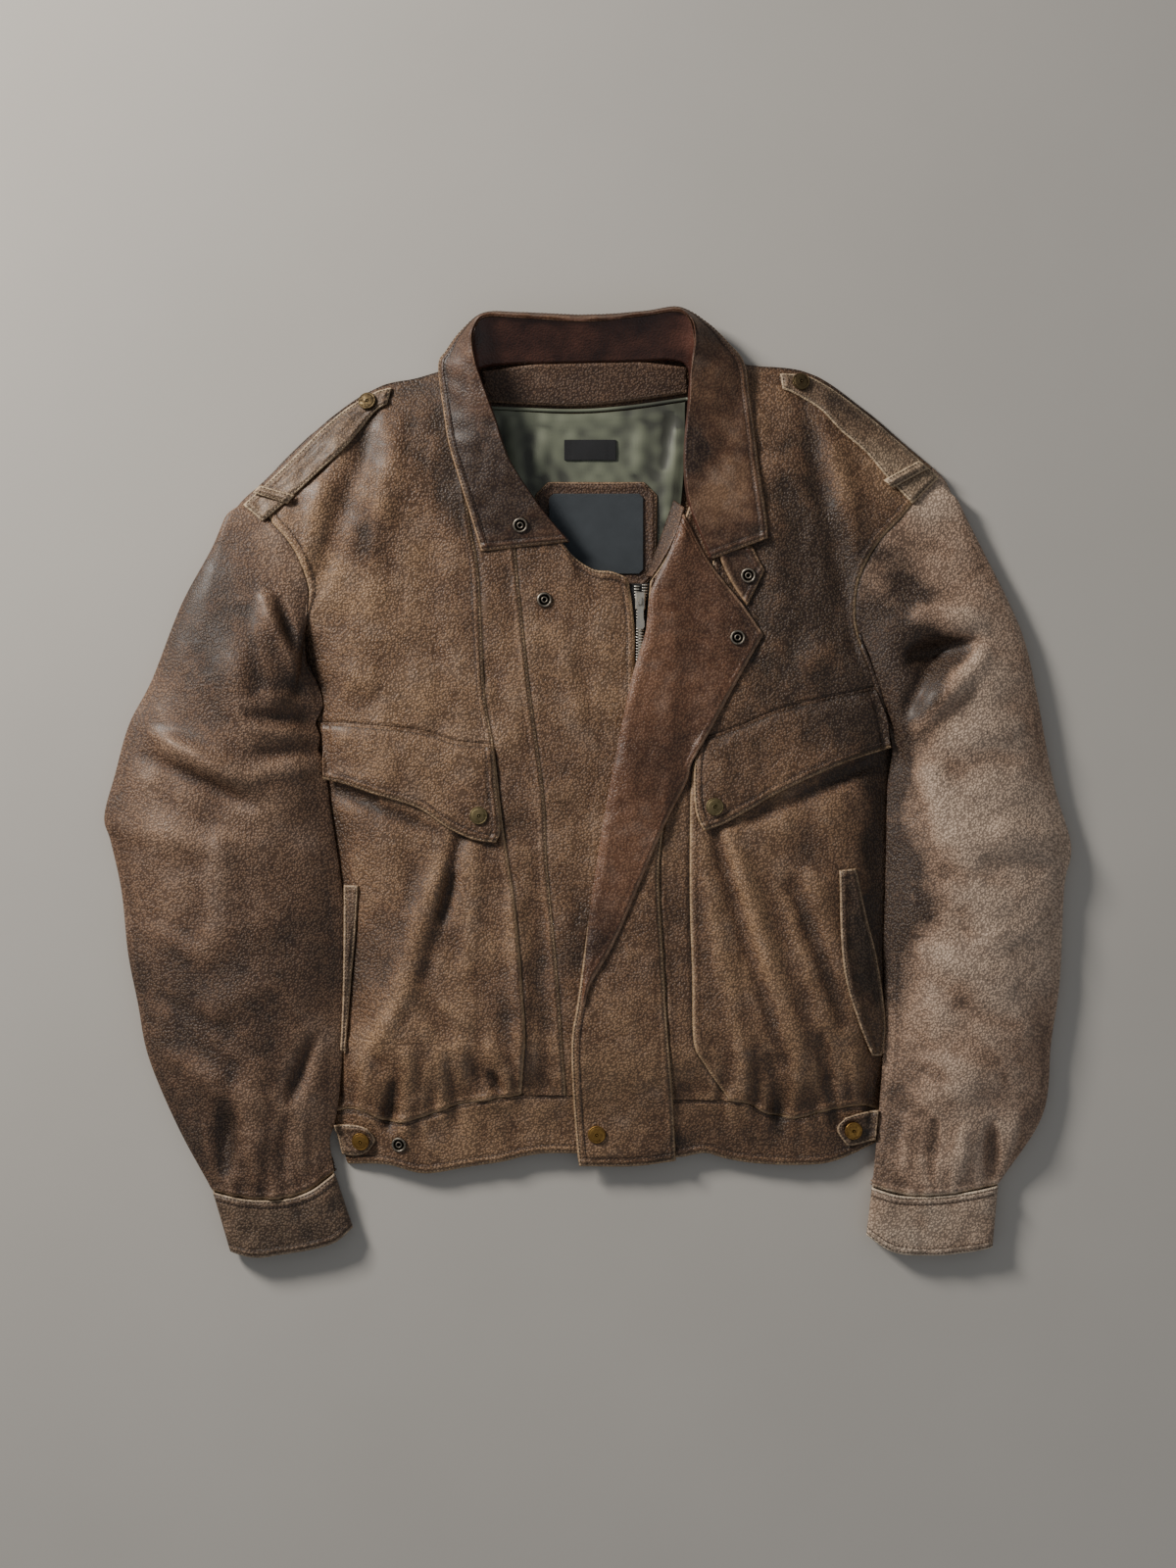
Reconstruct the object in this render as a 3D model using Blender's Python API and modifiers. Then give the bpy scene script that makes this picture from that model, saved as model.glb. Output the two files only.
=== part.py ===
"""A worn leather blouson that lies flat on its back, closed by its zip to the chest, with its collar open.

Every length below is in millimetres and becomes metres where a mesh is made. X runs from the wearer's right
side to the left one, Y from the hem to the collar and Z up. The origin is on the underside of the back panel.
"""

import math

import bmesh
import bpy
import numpy as np
from mathutils import Vector
from mathutils.bvhtree import BVHTree

MM = 0.001

# Walls and gaps
WALL = 1.8
COLLAR_WALL = 2.4
TRIM_WALL = 1.4
LINING_WALL = 1.0
SEAM_GAP = 0.25
REST_GAP = 0.5
TRIM_LIFT = 2 * REST_GAP
FLOOR_LEVEL = 2.3

# How high the front lies over the back: its height at some places from hem to collar, and its rolled edge
CROWN = [(-360, 12), (-303, 15), (-245, 33), (-120, 27), (60, 25), (250, 22), (390, 17)]
CROWN_SOFT = 0.7
CROWN_STEPS = (-24, -12, 0, 12, 24)
EDGE_TOP = 3.9
EDGE_ROLL = 70
EDGE_POWER = 2.2

# Sleeves and cuffs
SLEEVE_HEIGHT = [(0, 24), (0.2, 36), (0.45, 39), (0.8, 34), (0.93, 27), (1, 21)]
SLEEVE_ROWS = 17
SLEEVE_SIDE = 11
SLEEVE_TUCK = 5
SLEEVE_POWER = 0.7
HEAD_REACH = (0.06, 0.24)
FOOT_REACH = 0.2
HEAD_BLEND = 0.1
FOLD_FADE = 0.5
CUFF_HEIGHT = (20, 17)
CUFF_COLUMNS = 20
CUFF_SHARES = (0, 0.5, 1)
CUFF_SIDE_POWER = 0.75
CUFF_FACE_POWER = 0.6
CUFF_FLATNESS = 1.15

# Seams that both fronts have, from the collar down, as the wearer's right and left
SHOULDER = {
    "right": [(-114, 389), (-156, 376), (-198, 365), (-248, 330), (-306, 274)],
    "left": [(118, 393), (152, 387), (204, 380), (249, 351), (292, 315), (318, 293)],
}
ARMHOLE_UPPER = {
    "right": [(-306, 274), (-293, 244), (-277, 225), (-266, 207), (-258, 185), (-258, 169), (-266, 146),
              (-276, 130)],
    "left": [(318, 293), (296, 254), (268, 223), (250, 190), (246, 160), (249, 137), (260, 108), (268, 90)],
}
ARMHOLE_LOWER = {"right": [(-276, 130), (-255, 88), (-253, 57)], "left": [(268, 90), (275, 70), (286, 50)]}
SIDE = {
    "right": [(-253, 57), (-250, 12), (-237, -76), (-228, -144), (-229, -190), (-232, -240), (-237, -303)],
    "left": [(286, 50), (283, 0), (281, -95), (280, -153), (280, -227), (277, -265), (271, -303)],
}
WAIST_SIDE = {"right": [(-237, -303), (-222, -351)], "left": [(271, -303), (267, -331)]}
YOKE_SEAM = {
    "right": [(-86, 36), (-123, 40), (-151, 49), (-187, 53), (-224, 56), (-253, 57)],
    "left": [(99, 40), (138, 53), (171, 67), (204, 76), (237, 83), (268, 90)],
}
STRIP_EDGE_UPPER = {
    "right": [(-114, 389), (-115, 330), (-113, 285), (-108, 242), (-100, 196), (-97, 139), (-94, 81),
              (-86, 36)],
    "left": [(118, 393), (122, 330), (122, 285), (121, 242), (113, 196), (110, 139), (107, 81), (99, 40)],
}
STRIP_EDGE_LOWER = {
    "right": [(-86, 36), (-78, -35), (-73, -66), (-66, -112), (-61, -167), (-57, -224), (-58, -250),
              (-61, -286)],
    "left": [(99, 40), (94, -1), (93, -45), (93, -110), (95, -175), (96, -234), (105, -255), (130, -291)],
}
NECK_LINE = {
    "right": [(-108, 386), (-104, 374), (-90, 336), (-73, 290)],
    "left": [(99, 388), (97, 364), (95, 300), (96, 268), (86, 236)],
}
PLACKET_SEAM = {
    "right": [(-73, 290), (-66, 214), (-62, 173), (-52, 81), (-40, -10), (-37, -72), (-27, -180),
              (-20, -286)],
    "left": [(86, 236), (80, 180), (78, 120), (74, 40), (68, -30), (64, -84), (68, -162), (71, -216),
             (77, -290)],
}
PLACKET_NECK = {
    "right": [(-73, 290), (-45, 247), (-24, 222), (-12, 208), (5, 197), (22, 195), (37, 189)],
    "left": [(86, 236), (70, 205), (57, 186)],
}
ZIP_EDGE = {
    "right": [(37, 189), (40, 169), (43, 139), (43, 104), (43, 0), (43, -288)],
    "left": [(57, 186), (54, 150), (52, 104), (52, 0), (52, -288)],
}
WAIST_SEAM = {
    "right": [(-237, -303), (-213, -301), (-181, -312), (-153, -307), (-121, -296), (-94, -291), (-61, -286)],
    "left": [(271, -303), (252, -297), (221, -301), (193, -308), (166, -304), (147, -294), (130, -291)],
}
HEM = {
    "right": [(-222, -351), (-185, -351), (-151, -359), (-111, -353), (-79, -348), (-53, -342), (-22, -340),
              (43, -344)],
    "left": [(267, -331), (229, -347), (200, -351), (160, -350), (130, -346), (108, -340), (83, -344),
             (52, -344)],
}
LOW_LINES = [
    SHOULDER["right"], SHOULDER["left"], ARMHOLE_LOWER["right"] + SIDE["right"][1:] + WAIST_SIDE["right"][1:],
    SIDE["left"] + WAIST_SIDE["left"][1:],
]
BACK_NECK = [(-95, 398), (0, 400), (98, 400)]

# How many pieces each seam is cut into, so that the panels beside it share its points
ARMHOLE_PIECES = {"right": (12, 2), "left": (9, 3)}
SHOULDER_PIECES = 10
SIDE_PIECES = 12
YOKE_PIECES = 10
WAIST_PIECES = 10
NECK_PIECES = 5
PLACKET_PIECES = {"right": 4, "left": 2}
STRIP_PIECES = 2
BAND_PIECES = 2
BACK_HEM_PIECES = 8
BACK_NECK_PIECES = 8

# Sleeves, from the shoulder to the cuff, at their widest
SLEEVE_OUTER = {
    "right": [(-306, 274), (-330, 254), (-347, 217), (-375, 165), (-402, 96), (-423, 55), (-436, 9),
              (-446, -30),
              (-440, -53), (-430, -99), (-424, -156), (-415, -202), (-405, -252), (-378, -316), (-346, -375)],
    "left": [(318, 293), (333, 279), (344, 255), (365, 213), (389, 165), (403, 130), (414, 81), (423, 31),
             (432, -10), (444, -49), (445, -68), (439, -95), (435, -180), (427, -237), (419, -305),
             (378, -369)],
}
SLEEVE_INNER = {
    "right": [(-276, 130), (-261, 84), (-258, 52), (-250, 12), (-236, -76), (-227, -144), (-228, -190),
              (-231, -240), (-236, -307), (-240, -328), (-234, -358)],
    "left": [(286, 50), (283, 0), (280, -95), (278, -153), (278, -227), (274, -289), (267, -340),
             (262, -371)],
}
CUFF_TOP = {
    "right": [(-346, -375), (-313, -381), (-282, -381), (-257, -374), (-234, -358)],
    "left": [(378, -369), (332, -377), (291, -378), (262, -371)],
}
CUFF_END = {
    "right": [(-330, -431), (-306, -436), (-282, -433), (-257, -429), (-233, -422), (-217, -409)],
    "left": [(373, -427), (343, -432), (314, -434), (281, -431), (257, -416)],
}

# Folds: where each runs, half its width, and its height, below nought for a trough
BODY_FOLDS = [
    ((-117, -50), (-144, -180), 11, 4.0),
    ((125, -40), (182, -249), 11, 4.5),
    ((182, -99), (226, -219), 12, 3.5),
    ((-200, -180), (-170, -285), 14, 3.0),
    ((-184, -294), (-176, -320), 9, -3.0),
    ((-77, -277), (-96, -300), 9, 3.0),
    ((226, -270), (222, -305), 9, 3.0),
    ((-250, 110), (-190, 90), 16, 3.5),
    ((240, 130), (190, 110), 16, 3.5),
    ((-160, 300), (-225, 215), 18, 2.5),
    ((185, 310), (225, 220), 18, 2.5),
]
SLEEVE_FOLDS = {
    "right": [
        ((-392, 39), (-296, -2), 17, 6), ((-400, 0), (-300, -45), 15, -5), ((-420, -40), (-330, -60), 14, 4),
        ((-295, 158), (-330, 60), 18, 5), ((-250, -239), (-275, -290), 14, -4), ((-333, -39),
        (-345, -150), 14, 3),
        ((-328, -300), (-334, -360), 11, -5), ((-370, -260), (-290, -300), 15, 4), ((-280, -180),
        (-370, -215), 16, 3),
    ],
    "left": [
        ((352, 124), (290, 112), 13, -9), ((368, 143), (296, 160), 17, 5), ((345, 96), (296, 78), 15, 5),
        ((430, -60), (330, -40), 17, 5), ((425, -90), (320, -80), 14, -4), ((370, -315), (373, -365), 11, -5),
        ((300, -150), (390, -190), 16, 4), ((290, -290), (380, -270), 15, 4), ((400, 60), (330, 30), 16, 4),
    ],
}

# The fly flap with its turned back facing, and what lies at the neck
ROLL_LINE = [(58, 178), (54, 150), (52, 137), (40, 97), (28, 40), (17, -17), (8, -72), (1, -121)]
FLY_LEFT = [(76, 214)] + ROLL_LINE + [(-9, -195), (-15, -234), (-14, -284), (-10, -337), (-8, -352)]
FLY_RIGHT = [(88, 230), (82, 180), (80, 120), (76, 40), (70, -30), (65, -84), (69, -162), (72, -216),
             (78, -292),
             (81, -347)]
FLY_TOP = [(76, 214), (88, 230)]
FLY_BOTTOM = [(-8, -352), (42, -352), (81, -347)]
FACING_LEFT = [(88, 248), (74, 212)] + ROLL_LINE + [(-6, -196)]
FACING_TOP = [(88, 248), (110, 206), (143, 163), (161, 137)]
FACING_RIGHT = [(161, 137), (139, 98), (111, 47), (95, 19), (90, 1), (67, -45), (27, -139), (3, -182),
                (-3, -203)]
FACING_BOTTOM = [(-6, -196), (-3, -203)]
NECK_FACING = {
    "outer": [(88, 254), (80.8, 229), (66.8, 203.5), (57.8, 190.5)],
    "inner": [(79, 262), (69, 234), (58, 203), (52, 192)],
    "drop": 11, "start": 1,
}
COLLAR_TAB = {
    "top": [(116, 218), (150, 219)], "bottom": [(146, 163), (162, 196)],
    "left": [(116, 218), (130, 187), (146, 163)], "right": [(150, 219), (162, 196)],
}

# The collar, from its right point round the back to its left one: edge of the fall, crest, foot of the stand
COLLAR = [
    ((-98, 213), (-18, 222, 25), (-16.6, 223, 19)),
    ((-108, 246), (-41, 249, 29), (-39.8, 250, 18)),
    ((-118, 278), (-69, 290, 32), (-67.6, 290.5, 17)),
    ((-128, 312), (-79, 314, 33), (-77.6, 314, 16)),
    ((-132, 336), (-86, 336, 34), (-84.6, 336, 15)),
    ((-138, 384), (-101, 378, 36), (-99.6, 377.5, 14)),
    ((-131, 399), (-106, 402, 37), (-97, 383, 14)),
    ((-117, 417), (-104, 417, 38), (-86, 385, 14)),
    ((-95, 433), (-93, 427, 38), (-74, 386, 14)),
    ((-60, 433), (-60, 426, 38), (-48, 387, 14)),
    ((0, 431), (0, 423, 38), (0, 388, 14)),
    ((50, 434), (50, 428, 38), (45, 389, 14)),
    ((84, 438), (80, 432, 38), (70, 390, 14)),
    ((112, 423), (94, 424, 38), (82, 389, 14)),
    ((130, 406), (98, 404, 37), (89, 386, 14)),
    ((144, 388), (94, 377, 36), (92.6, 377, 15)),
    ((149, 355), (93, 352, 35), (91.6, 352, 16)),
    ((157, 289), (89, 298, 33), (87.6, 298, 17)),
    ((163, 248), (94, 255, 31), (92.6, 254.6, 18)),
    ((165, 225), (114, 206, 28), (112.6, 205.6, 20)),
]
COLLAR_STATIONS = 30
COLLAR_FALL = ((0, 0), (0.35, 0.5), (0.7, 0.85), (0.93, 0.985))
COLLAR_STAND = (0.3, 1)
COLLAR_FOOT_Z = 13.4
BAND_FOOT_Z = 5.4
BAND_BEND = 0.8
NECK_BAND = {
    "top": [(-95, 382), (-48, 386.3), (0, 387.4), (45, 388.4), (86, 385)],
    "bottom": [(-93, 354), (-17, 349), (34, 353), (88, 361)],
}
PIPING = {"line": [(-91, 349), (-17, 345), (34, 348), (87, 356)], "radius": 1.6, "height": 4.0, "points": 12}
LINING = {
    "top": [(-93, 346), (-17, 342), (34, 345), (90, 353)], "bottom": [(-66, 150), (0, 140), (74, 150)],
    "left": [(-93, 346), (-84, 280), (-66, 150)], "right": [(90, 353), (88, 280), (74, 150)],
}
LINING_WAVES = (46, 1.6)
LABEL_PATCH = {"x": (-49, 64), "y": (182, 279), "chamfer": 12}
LABEL_CLOTH = {"x": (-36, 51), "y": (194, 268), "chamfer": 4}
LABEL_SMALL = {"x": (-22, 26), "y": (299, 318), "chamfer": 0.5}

# What is sewn on the fronts, sleeves and waistband
CHEST_FLAP = {
    "right": {
        "top": [(-86, 33), (-123, 37), (-151, 46), (-187, 50), (-224, 53), (-245, 54)],
        "bottom": [(-84, -54), (-105, -51), (-129, -40), (-156, -22), (-197, -9), (-224, 0), (-243, 4)],
        "left": [(-86, 33), (-84, 0), (-80, -40), (-84, -54)], "right": [(-245, 54), (-243, 4)],
    },
    "left": {
        "top": [(100, 37), (138, 50), (171, 64), (204, 73), (237, 80), (264, 86)],
        "bottom": [(106, -43), (125, -36), (149, -23), (171, -10), (200, 4), (237, 20), (278, 33)],
        "left": [(100, 37), (97, 14), (97, -14), (100, -31), (106, -43)],
        "right": [(264, 86), (274, 60), (278, 33)],
    },
}
WELT = {
    "right": {"left": [(-225, -93), (-225, -150), (-226, -200), (-228, -246)],
              "right": [(-211, -93), (-214, -139), (-218, -181), (-223, -246)]},
    "left": {"left": [(230, -79), (233, -165), (247, -216), (261, -250)],
             "right": [(246, -77), (256, -121), (267, -165), (274, -219), (271, -250)]},
}
EPAULETTE = {
    "right": {"top": [(-181, 366), (-196, 362), (-221, 348), (-246, 327), (-273, 300), (-298, 276),
                      (-318, 257)],
              "bottom": [(-185, 350), (-196, 343), (-208, 328), (-225, 307), (-246, 288), (-272, 264),
                         (-299, 241)]},
    "left": {"top": [(177, 379), (202, 377), (225, 365), (247, 349), (268, 332), (290, 313), (324, 283)],
             "bottom": [(179, 364), (189, 360), (213, 345), (233, 324), (256, 304), (275, 281), (298, 257)]},
}
KEEPER = {
    "right": [((-309, 268), (-302, 275)), ((-276, 257), (-269, 265))],
    "left": [((313, 290), (305, 298)), ((279, 271), (271, 279))],
}
WAIST_TAB = {
    "right": {"top": [(-234, -314), (-215, -314), (-203, -317)],
              "bottom": [(-227, -342), (-213, -343), (-203, -339)],
              "left": [(-234, -314), (-227, -342)], "right": [(-203, -317), (-196, -328), (-203, -339)]},
    "left": {"top": [(237, -307), (250, -303), (268, -300)], "bottom": [(239, -334), (250, -332),
                                                                        (265, -328)],
             "left": [(237, -307), (229, -318), (239, -334)], "right": [(268, -300), (265, -328)]},
}
SNAPS = {
    "snap_fly": (8, -322), "snap_flap_right": (-100, -29), "snap_flap_left": (116, -21),
    "snap_tab_right": (-209, -329), "snap_tab_left": (244, -319),
    "snap_epaulette_right": (-203, 352), "snap_epaulette_left": (196, 370),
}
SOCKETS = {
    "socket_collar": (-62, 237), "socket_lapel": (137, 134), "socket_placket": (-40, 169),
    "socket_waist": (-174, -332), "socket_collar_tab": (147, 191),
}

# Rows and columns of faces of the pieces that are given by four edges
GRIDS = {
    "lining": (6, 6), "label_patch": (5, 4), "label_cloth": (5, 4), "label_small": (2, 4),
    "chest_flap": (5, 9),
    "pocket_welt": (9, 2), "epaulette": (3, 11), "keeper": (2, 6), "waist_tab": (3, 4), "collar_tab": (4, 3),
    "fly": (16, 4), "facing": (16, 6), "neck_band": (3, 10), "neck_facing": (6, 2),
}

# Snap caps and sockets: radius, height, and a profile in shares of the two
SNAP_RADIUS = 8.0
SNAP_HEIGHT = 3.0
SOCKET_RADIUS = 6.0
SOCKET_HEIGHT = 2.4
SNAP_STEPS = 8
STAND_SPOTS = 12
CAP_PROFILE = [(0, 1), (0.6, 0.85), (1, 0.35), (0.95, 0), (0, 0)]
SOCKET_PROFILE = [(0, 0.3), (0.4, 0.3), (0.5, 1), (0.8, 1), (1, 0.4), (1, 0), (0, 0)]

# The zip: its line, its tape, its slider with a bridge, and the pull that hangs on the bridge
ZIP_LINE = [(48.5, 184), (48, 150), (47.5, 104), (47.5, 0), (47.5, -344)]
ZIP_PIECES = 16
TAPE_HALF = 12
TAPE_DROP = 2.9
SLIDER_Y = 168
SLIDER_X = 48
SLIDER_WIDTH = 9
SLIDER_LENGTH = 16
SLIDER_HEIGHT = 3.6
SLIDER_BEVEL = 0.8
BRIDGE_WIDTH = 2.2
BRIDGE_REACH = 3.4
BRIDGE_BAR = 1.2
EYE_PLAY = 0.1
AXIS_RISE = 1.1
PULL_WIDTH = 7.5
PULL_THICK = 1.4
PULL_SIDE = [(0.8, 0.75), (1, -2), (1, -5.2), (0.75, -8.2), (0.75, -16), (1, -19), (1, -24), (0.6, -26)]
PULL_EYE = (-0.75, -5.2)
PULL_EYE_HALF = 1.7

# Plain colours: leather, its worn sheen, the facing, the collar's inside, cloths and metals
COLOURS = {
    "leather": ((0.19, 0.13, 0.09), 0.55, 0.0),
    "facing": ((0.11, 0.05, 0.035), 0.45, 0.0),
    "collar": ((0.07, 0.025, 0.018), 0.35, 0.0),
    "lining": ((0.09, 0.13, 0.08), 0.6, 0.0),
    "label": ((0.02, 0.02, 0.025), 0.7, 0.0),
    "slate": ((0.13, 0.15, 0.17), 0.8, 0.0),
    "brass": ((0.40, 0.26, 0.10), 0.4, 0.9),
    "gunmetal": ((0.10, 0.09, 0.08), 0.4, 0.9),
    "nickel": ((0.55, 0.54, 0.52), 0.3, 1.0),
    "tape": ((0.02, 0.02, 0.02), 0.8, 0.0),
}

CURVE_STEPS = 12
LIFT_ROUNDS = 6
LIFT_SAMPLES = 7
RAY_TOP = 200


def clear_scene():
    """Remove the objects that a new file starts with."""
    for thing in list(bpy.data.objects):
        bpy.data.objects.remove(thing)


def new_collection():
    """The collection and the empty that hold the jacket."""
    home = bpy.data.collections.new("leather_jacket")
    bpy.context.scene.collection.children.link(home)
    root = bpy.data.objects.new("jacket_origin", None)
    home.objects.link(root)
    return home, root


def material(name):
    """A plain material from the table of colours."""
    found = bpy.data.materials.get(name)
    if found:
        return found
    colour, roughness, metallic = COLOURS[name]
    made = bpy.data.materials.new(name)
    made.use_nodes = True
    shader = made.node_tree.nodes["Principled BSDF"]
    shader.inputs["Base Color"].default_value = (*colour, 1)
    shader.inputs["Roughness"].default_value = roughness
    shader.inputs["Metallic"].default_value = metallic
    return made


def place(thing, finish):
    """Put an object in the collection under the empty, with its own material."""
    own = material(finish).copy()
    own.name = f"{thing.name}_{finish}"
    thing.data.materials.append(own)
    HOME.objects.link(thing)
    thing.parent = ROOT
    return thing


def smooth(points, fractions):
    """The points at some fractions of the length of a smooth curve through a few points."""
    given = np.asarray(points, float)
    ends = np.vstack([2 * given[0] - given[1], given, 2 * given[-1] - given[-2]])
    t = np.linspace(0, 1, CURVE_STEPS, endpoint=False)[:, None]
    pieces = [
        0.5 * (2 * b + (c - a) * t + (2 * a - 5 * b + 4 * c - d) * t**2 + (3 * b - a - 3 * c + d) * t**3)
        for a, b, c, d in zip(ends, ends[1:], ends[2:], ends[3:])
    ]
    dense = np.vstack([*pieces, given[-1:]])
    run = np.r_[0, np.cumsum(np.linalg.norm(np.diff(dense, axis=0), axis=1))]
    wanted = np.asarray(fractions) * run[-1]
    return np.column_stack([np.interp(wanted, run, dense[:, k]) for k in range(dense.shape[1])])


def evenly(points, pieces):
    """A smooth curve through a few points, cut into equal pieces."""
    return smooth(points, np.linspace(0, 1, pieces + 1))


def joined(*curves):
    """Curves that follow each other, as one list of points."""
    return np.vstack([curves[0], *[c[1:] for c in curves[1:]]])


def patch(top, bottom, left, right):
    """The plan of a panel between its four seams, as rows of points from the top one to the bottom one."""
    u = np.linspace(0, 1, len(top))[None, :, None]
    v = np.linspace(0, 1, len(left))[:, None, None]
    across = (1 - v) * top[None] + v * bottom[None]
    along = (1 - u) * left[:, None] + u * right[:, None]
    corners = (1 - v) * ((1 - u) * top[0] + u * top[-1]) + v * ((1 - u) * bottom[0] + u * bottom[-1])
    return across + along - corners


def inset(plan, gap):
    """A plan whose border has moved in by the gap that it keeps to each seam."""
    moved = plan.copy()
    borders = (
        (np.s_[0], np.s_[1]), (np.s_[-1], np.s_[-2]),
        (np.s_[:, 0], np.s_[:, 1]), (np.s_[:, -1], np.s_[:, -2]),
    )
    for border, inside in borders:
        line = plan[border]
        along = np.gradient(line, axis=0)
        normal = np.column_stack([-along[:, 1], along[:, 0]])
        normal /= np.linalg.norm(normal, axis=1)[:, None] + 1e-9
        side = np.sign(((plan[inside] - line) * normal).sum(axis=1))[:, None]
        moved[border] += normal * side * gap
    return moved


def soft_step(share):
    """A step from 0 to 1 with soft ends."""
    share = np.clip(share, 0, 1)
    return share * share * (3 - 2 * share)


def distance_to(points, line):
    """How far points lie from a line of straight pieces, in the plan."""
    line = np.asarray(line, float)
    best = np.full(points.shape[:-1], np.inf)
    for a, b in zip(line, line[1:]):
        share = np.clip(((points - a) @ (b - a)) / ((b - a) @ (b - a)), 0, 1)
        best = np.minimum(best, np.linalg.norm(points - (a + share[..., None] * (b - a)), axis=-1))
    return best


def fold_relief(plan, folds):
    """The height that soft ridges and troughs add over a plan."""
    total = np.zeros(plan.shape[:-1])
    for start, end, half, height in folds:
        away = distance_to(plan, [start, end])
        total += height * np.exp(-((away / half) ** 2))
    return total


def front_height(plan):
    """How high the fronts' outer face lies: low at shoulders and sides, crowned between, with its folds."""
    plan = np.asarray(plan, float)
    low = [distance_to(plan, line) for line in LOW_LINES]
    near = np.clip(np.min(low, axis=0) / EDGE_ROLL, 0, 1)
    rise = 1 - (1 - near) ** EDGE_POWER
    ys, zs = np.array(CROWN, float).T
    crown = np.interp(plan[..., 1], ys, zs)
    soft = np.mean([np.interp(plan[..., 1] + step, ys, zs) for step in CROWN_STEPS], axis=0)
    top = EDGE_TOP + ((1 - CROWN_SOFT) * crown + CROWN_SOFT * soft - EDGE_TOP) * rise
    return top + fold_relief(plan, BODY_FOLDS) * rise


def with_height(plan, height):
    """Plan points with their heights."""
    return np.concatenate([plan, height[..., None]], axis=-1)


def grid_mesh(name, points, closed=False):
    """A mesh of four-sided faces over rows of points, in metres, facing up on the whole."""
    rows, columns = points.shape[:2]
    index = np.arange(rows * columns).reshape(rows, columns)
    if closed:
        index = np.column_stack([index, index[:, :1]])
    faces = np.stack([index[:-1, :-1], index[1:, :-1], index[1:, 1:], index[:-1, 1:]], axis=-1).reshape(-1, 4)
    flat = points.reshape(-1, 3) * MM
    corners = flat[faces]
    turn = np.cross(corners[:, 2] - corners[:, 0], corners[:, 3] - corners[:, 1])
    out = corners.mean(axis=1) - flat.mean(axis=0)
    facing = (turn * out).sum() if closed else turn[:, 2].sum()
    if facing < 0:
        faces = faces[:, ::-1]
    mesh = bpy.data.meshes.new(name)
    mesh.from_pydata(flat.tolist(), [], faces.tolist())
    mesh.shade_smooth()
    return mesh


def shell(name, points, wall, finish, outward, closed=False):
    """A cloth or leather piece: its open surface, with a wall that grows out of it or into it."""
    thing = bpy.data.objects.new(name, grid_mesh(name, points, closed))
    solid = thing.modifiers.new("wall", "SOLIDIFY")
    solid.thickness = wall * MM
    solid.offset = 1 if outward else -1
    return place(thing, finish)


def flat_piece(name, outline, wall, finish):
    """A panel that lies flat on the floor, cut along an outline."""
    data = bpy.data.curves.new(name, "CURVE")
    data.dimensions = "2D"
    data.fill_mode = "BOTH"
    data.extrude = wall * MM / 2
    spline = data.splines.new("POLY")
    spline.points.add(len(outline) - 1)
    for point, (x, y) in zip(spline.points, outline):
        point.co = (x * MM, y * MM, 0, 1)
    spline.use_cyclic_u = True
    thing = bpy.data.objects.new(name, data)
    thing.location.z = wall * MM / 2
    return place(thing, finish)


def tree_of(things):
    """What lies below a piece, for measuring down to it."""
    bpy.context.view_layer.update()
    graph = bpy.context.evaluated_depsgraph_get()
    points, faces = [], []
    for thing in things:
        seen = thing.evaluated_get(graph)
        mesh = seen.to_mesh()
        start = len(points)
        points += [seen.matrix_world @ v.co for v in mesh.vertices]
        faces += [[start + i for i in p.vertices] for p in mesh.polygons]
        seen.to_mesh_clear()
    return BVHTree.FromPolygons(points, faces)


def level_below(tree, x, y):
    """The height of the top face under a place, or nan where nothing is."""
    hit = tree.ray_cast(Vector((x * MM, y * MM, RAY_TOP * MM)), Vector((0, 0, -1)))[0]
    return hit.z / MM if hit else math.nan


def levels(tree, plan, beyond=None):
    """The height of the top face under each of some places, and beyond its edge the front's own height."""
    flat = [level_below(tree, x, y) for x, y in plan.reshape(-1, 2)]
    found = np.array(flat).reshape(plan.shape[:-1])
    other = front_height(plan) if beyond is None else beyond
    return np.where(np.isnan(found), other, found)


def lie_on(plan, tree, lift, start=None, beyond=None):
    """Heights at which a grid of points lies over what is below it, its faces clear by the lift."""
    height = levels(tree, plan, beyond) + lift
    if start is not None:
        height = np.maximum(height, start)
    steps = np.linspace(0, 1, LIFT_SAMPLES)
    shares = [(a, b) for a in steps for b in steps]
    below = {(a, b): levels(tree, mix_corners(plan, a, b), beyond) + lift for a, b in shares}
    for _ in range(LIFT_ROUNDS):
        need = np.max([below[a, b] - mix_corners(height, a, b) for a, b in shares], axis=0)
        before = height.copy()
        for rows in (np.s_[:-1], np.s_[1:]):
            for columns in (np.s_[:-1], np.s_[1:]):
                raised = before[rows, columns] + np.maximum(need, 0)
                height[rows, columns] = np.maximum(height[rows, columns], raised)
    return height


def mix_corners(grid, a, b):
    """The value inside each face of a grid, at shares of the way down and across."""
    upper = (1 - b) * grid[:-1, :-1] + b * grid[:-1, 1:]
    lower = (1 - b) * grid[1:, :-1] + b * grid[1:, 1:]
    return (1 - a) * upper + a * lower


def overlay(name, plan, tree, wall, finish, lift=REST_GAP):
    """A piece that is sewn on or lies on others, made over their faces and moved out."""
    return shell(name, with_height(plan, lie_on(plan, tree, lift)), wall, finish, outward=True)


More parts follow.
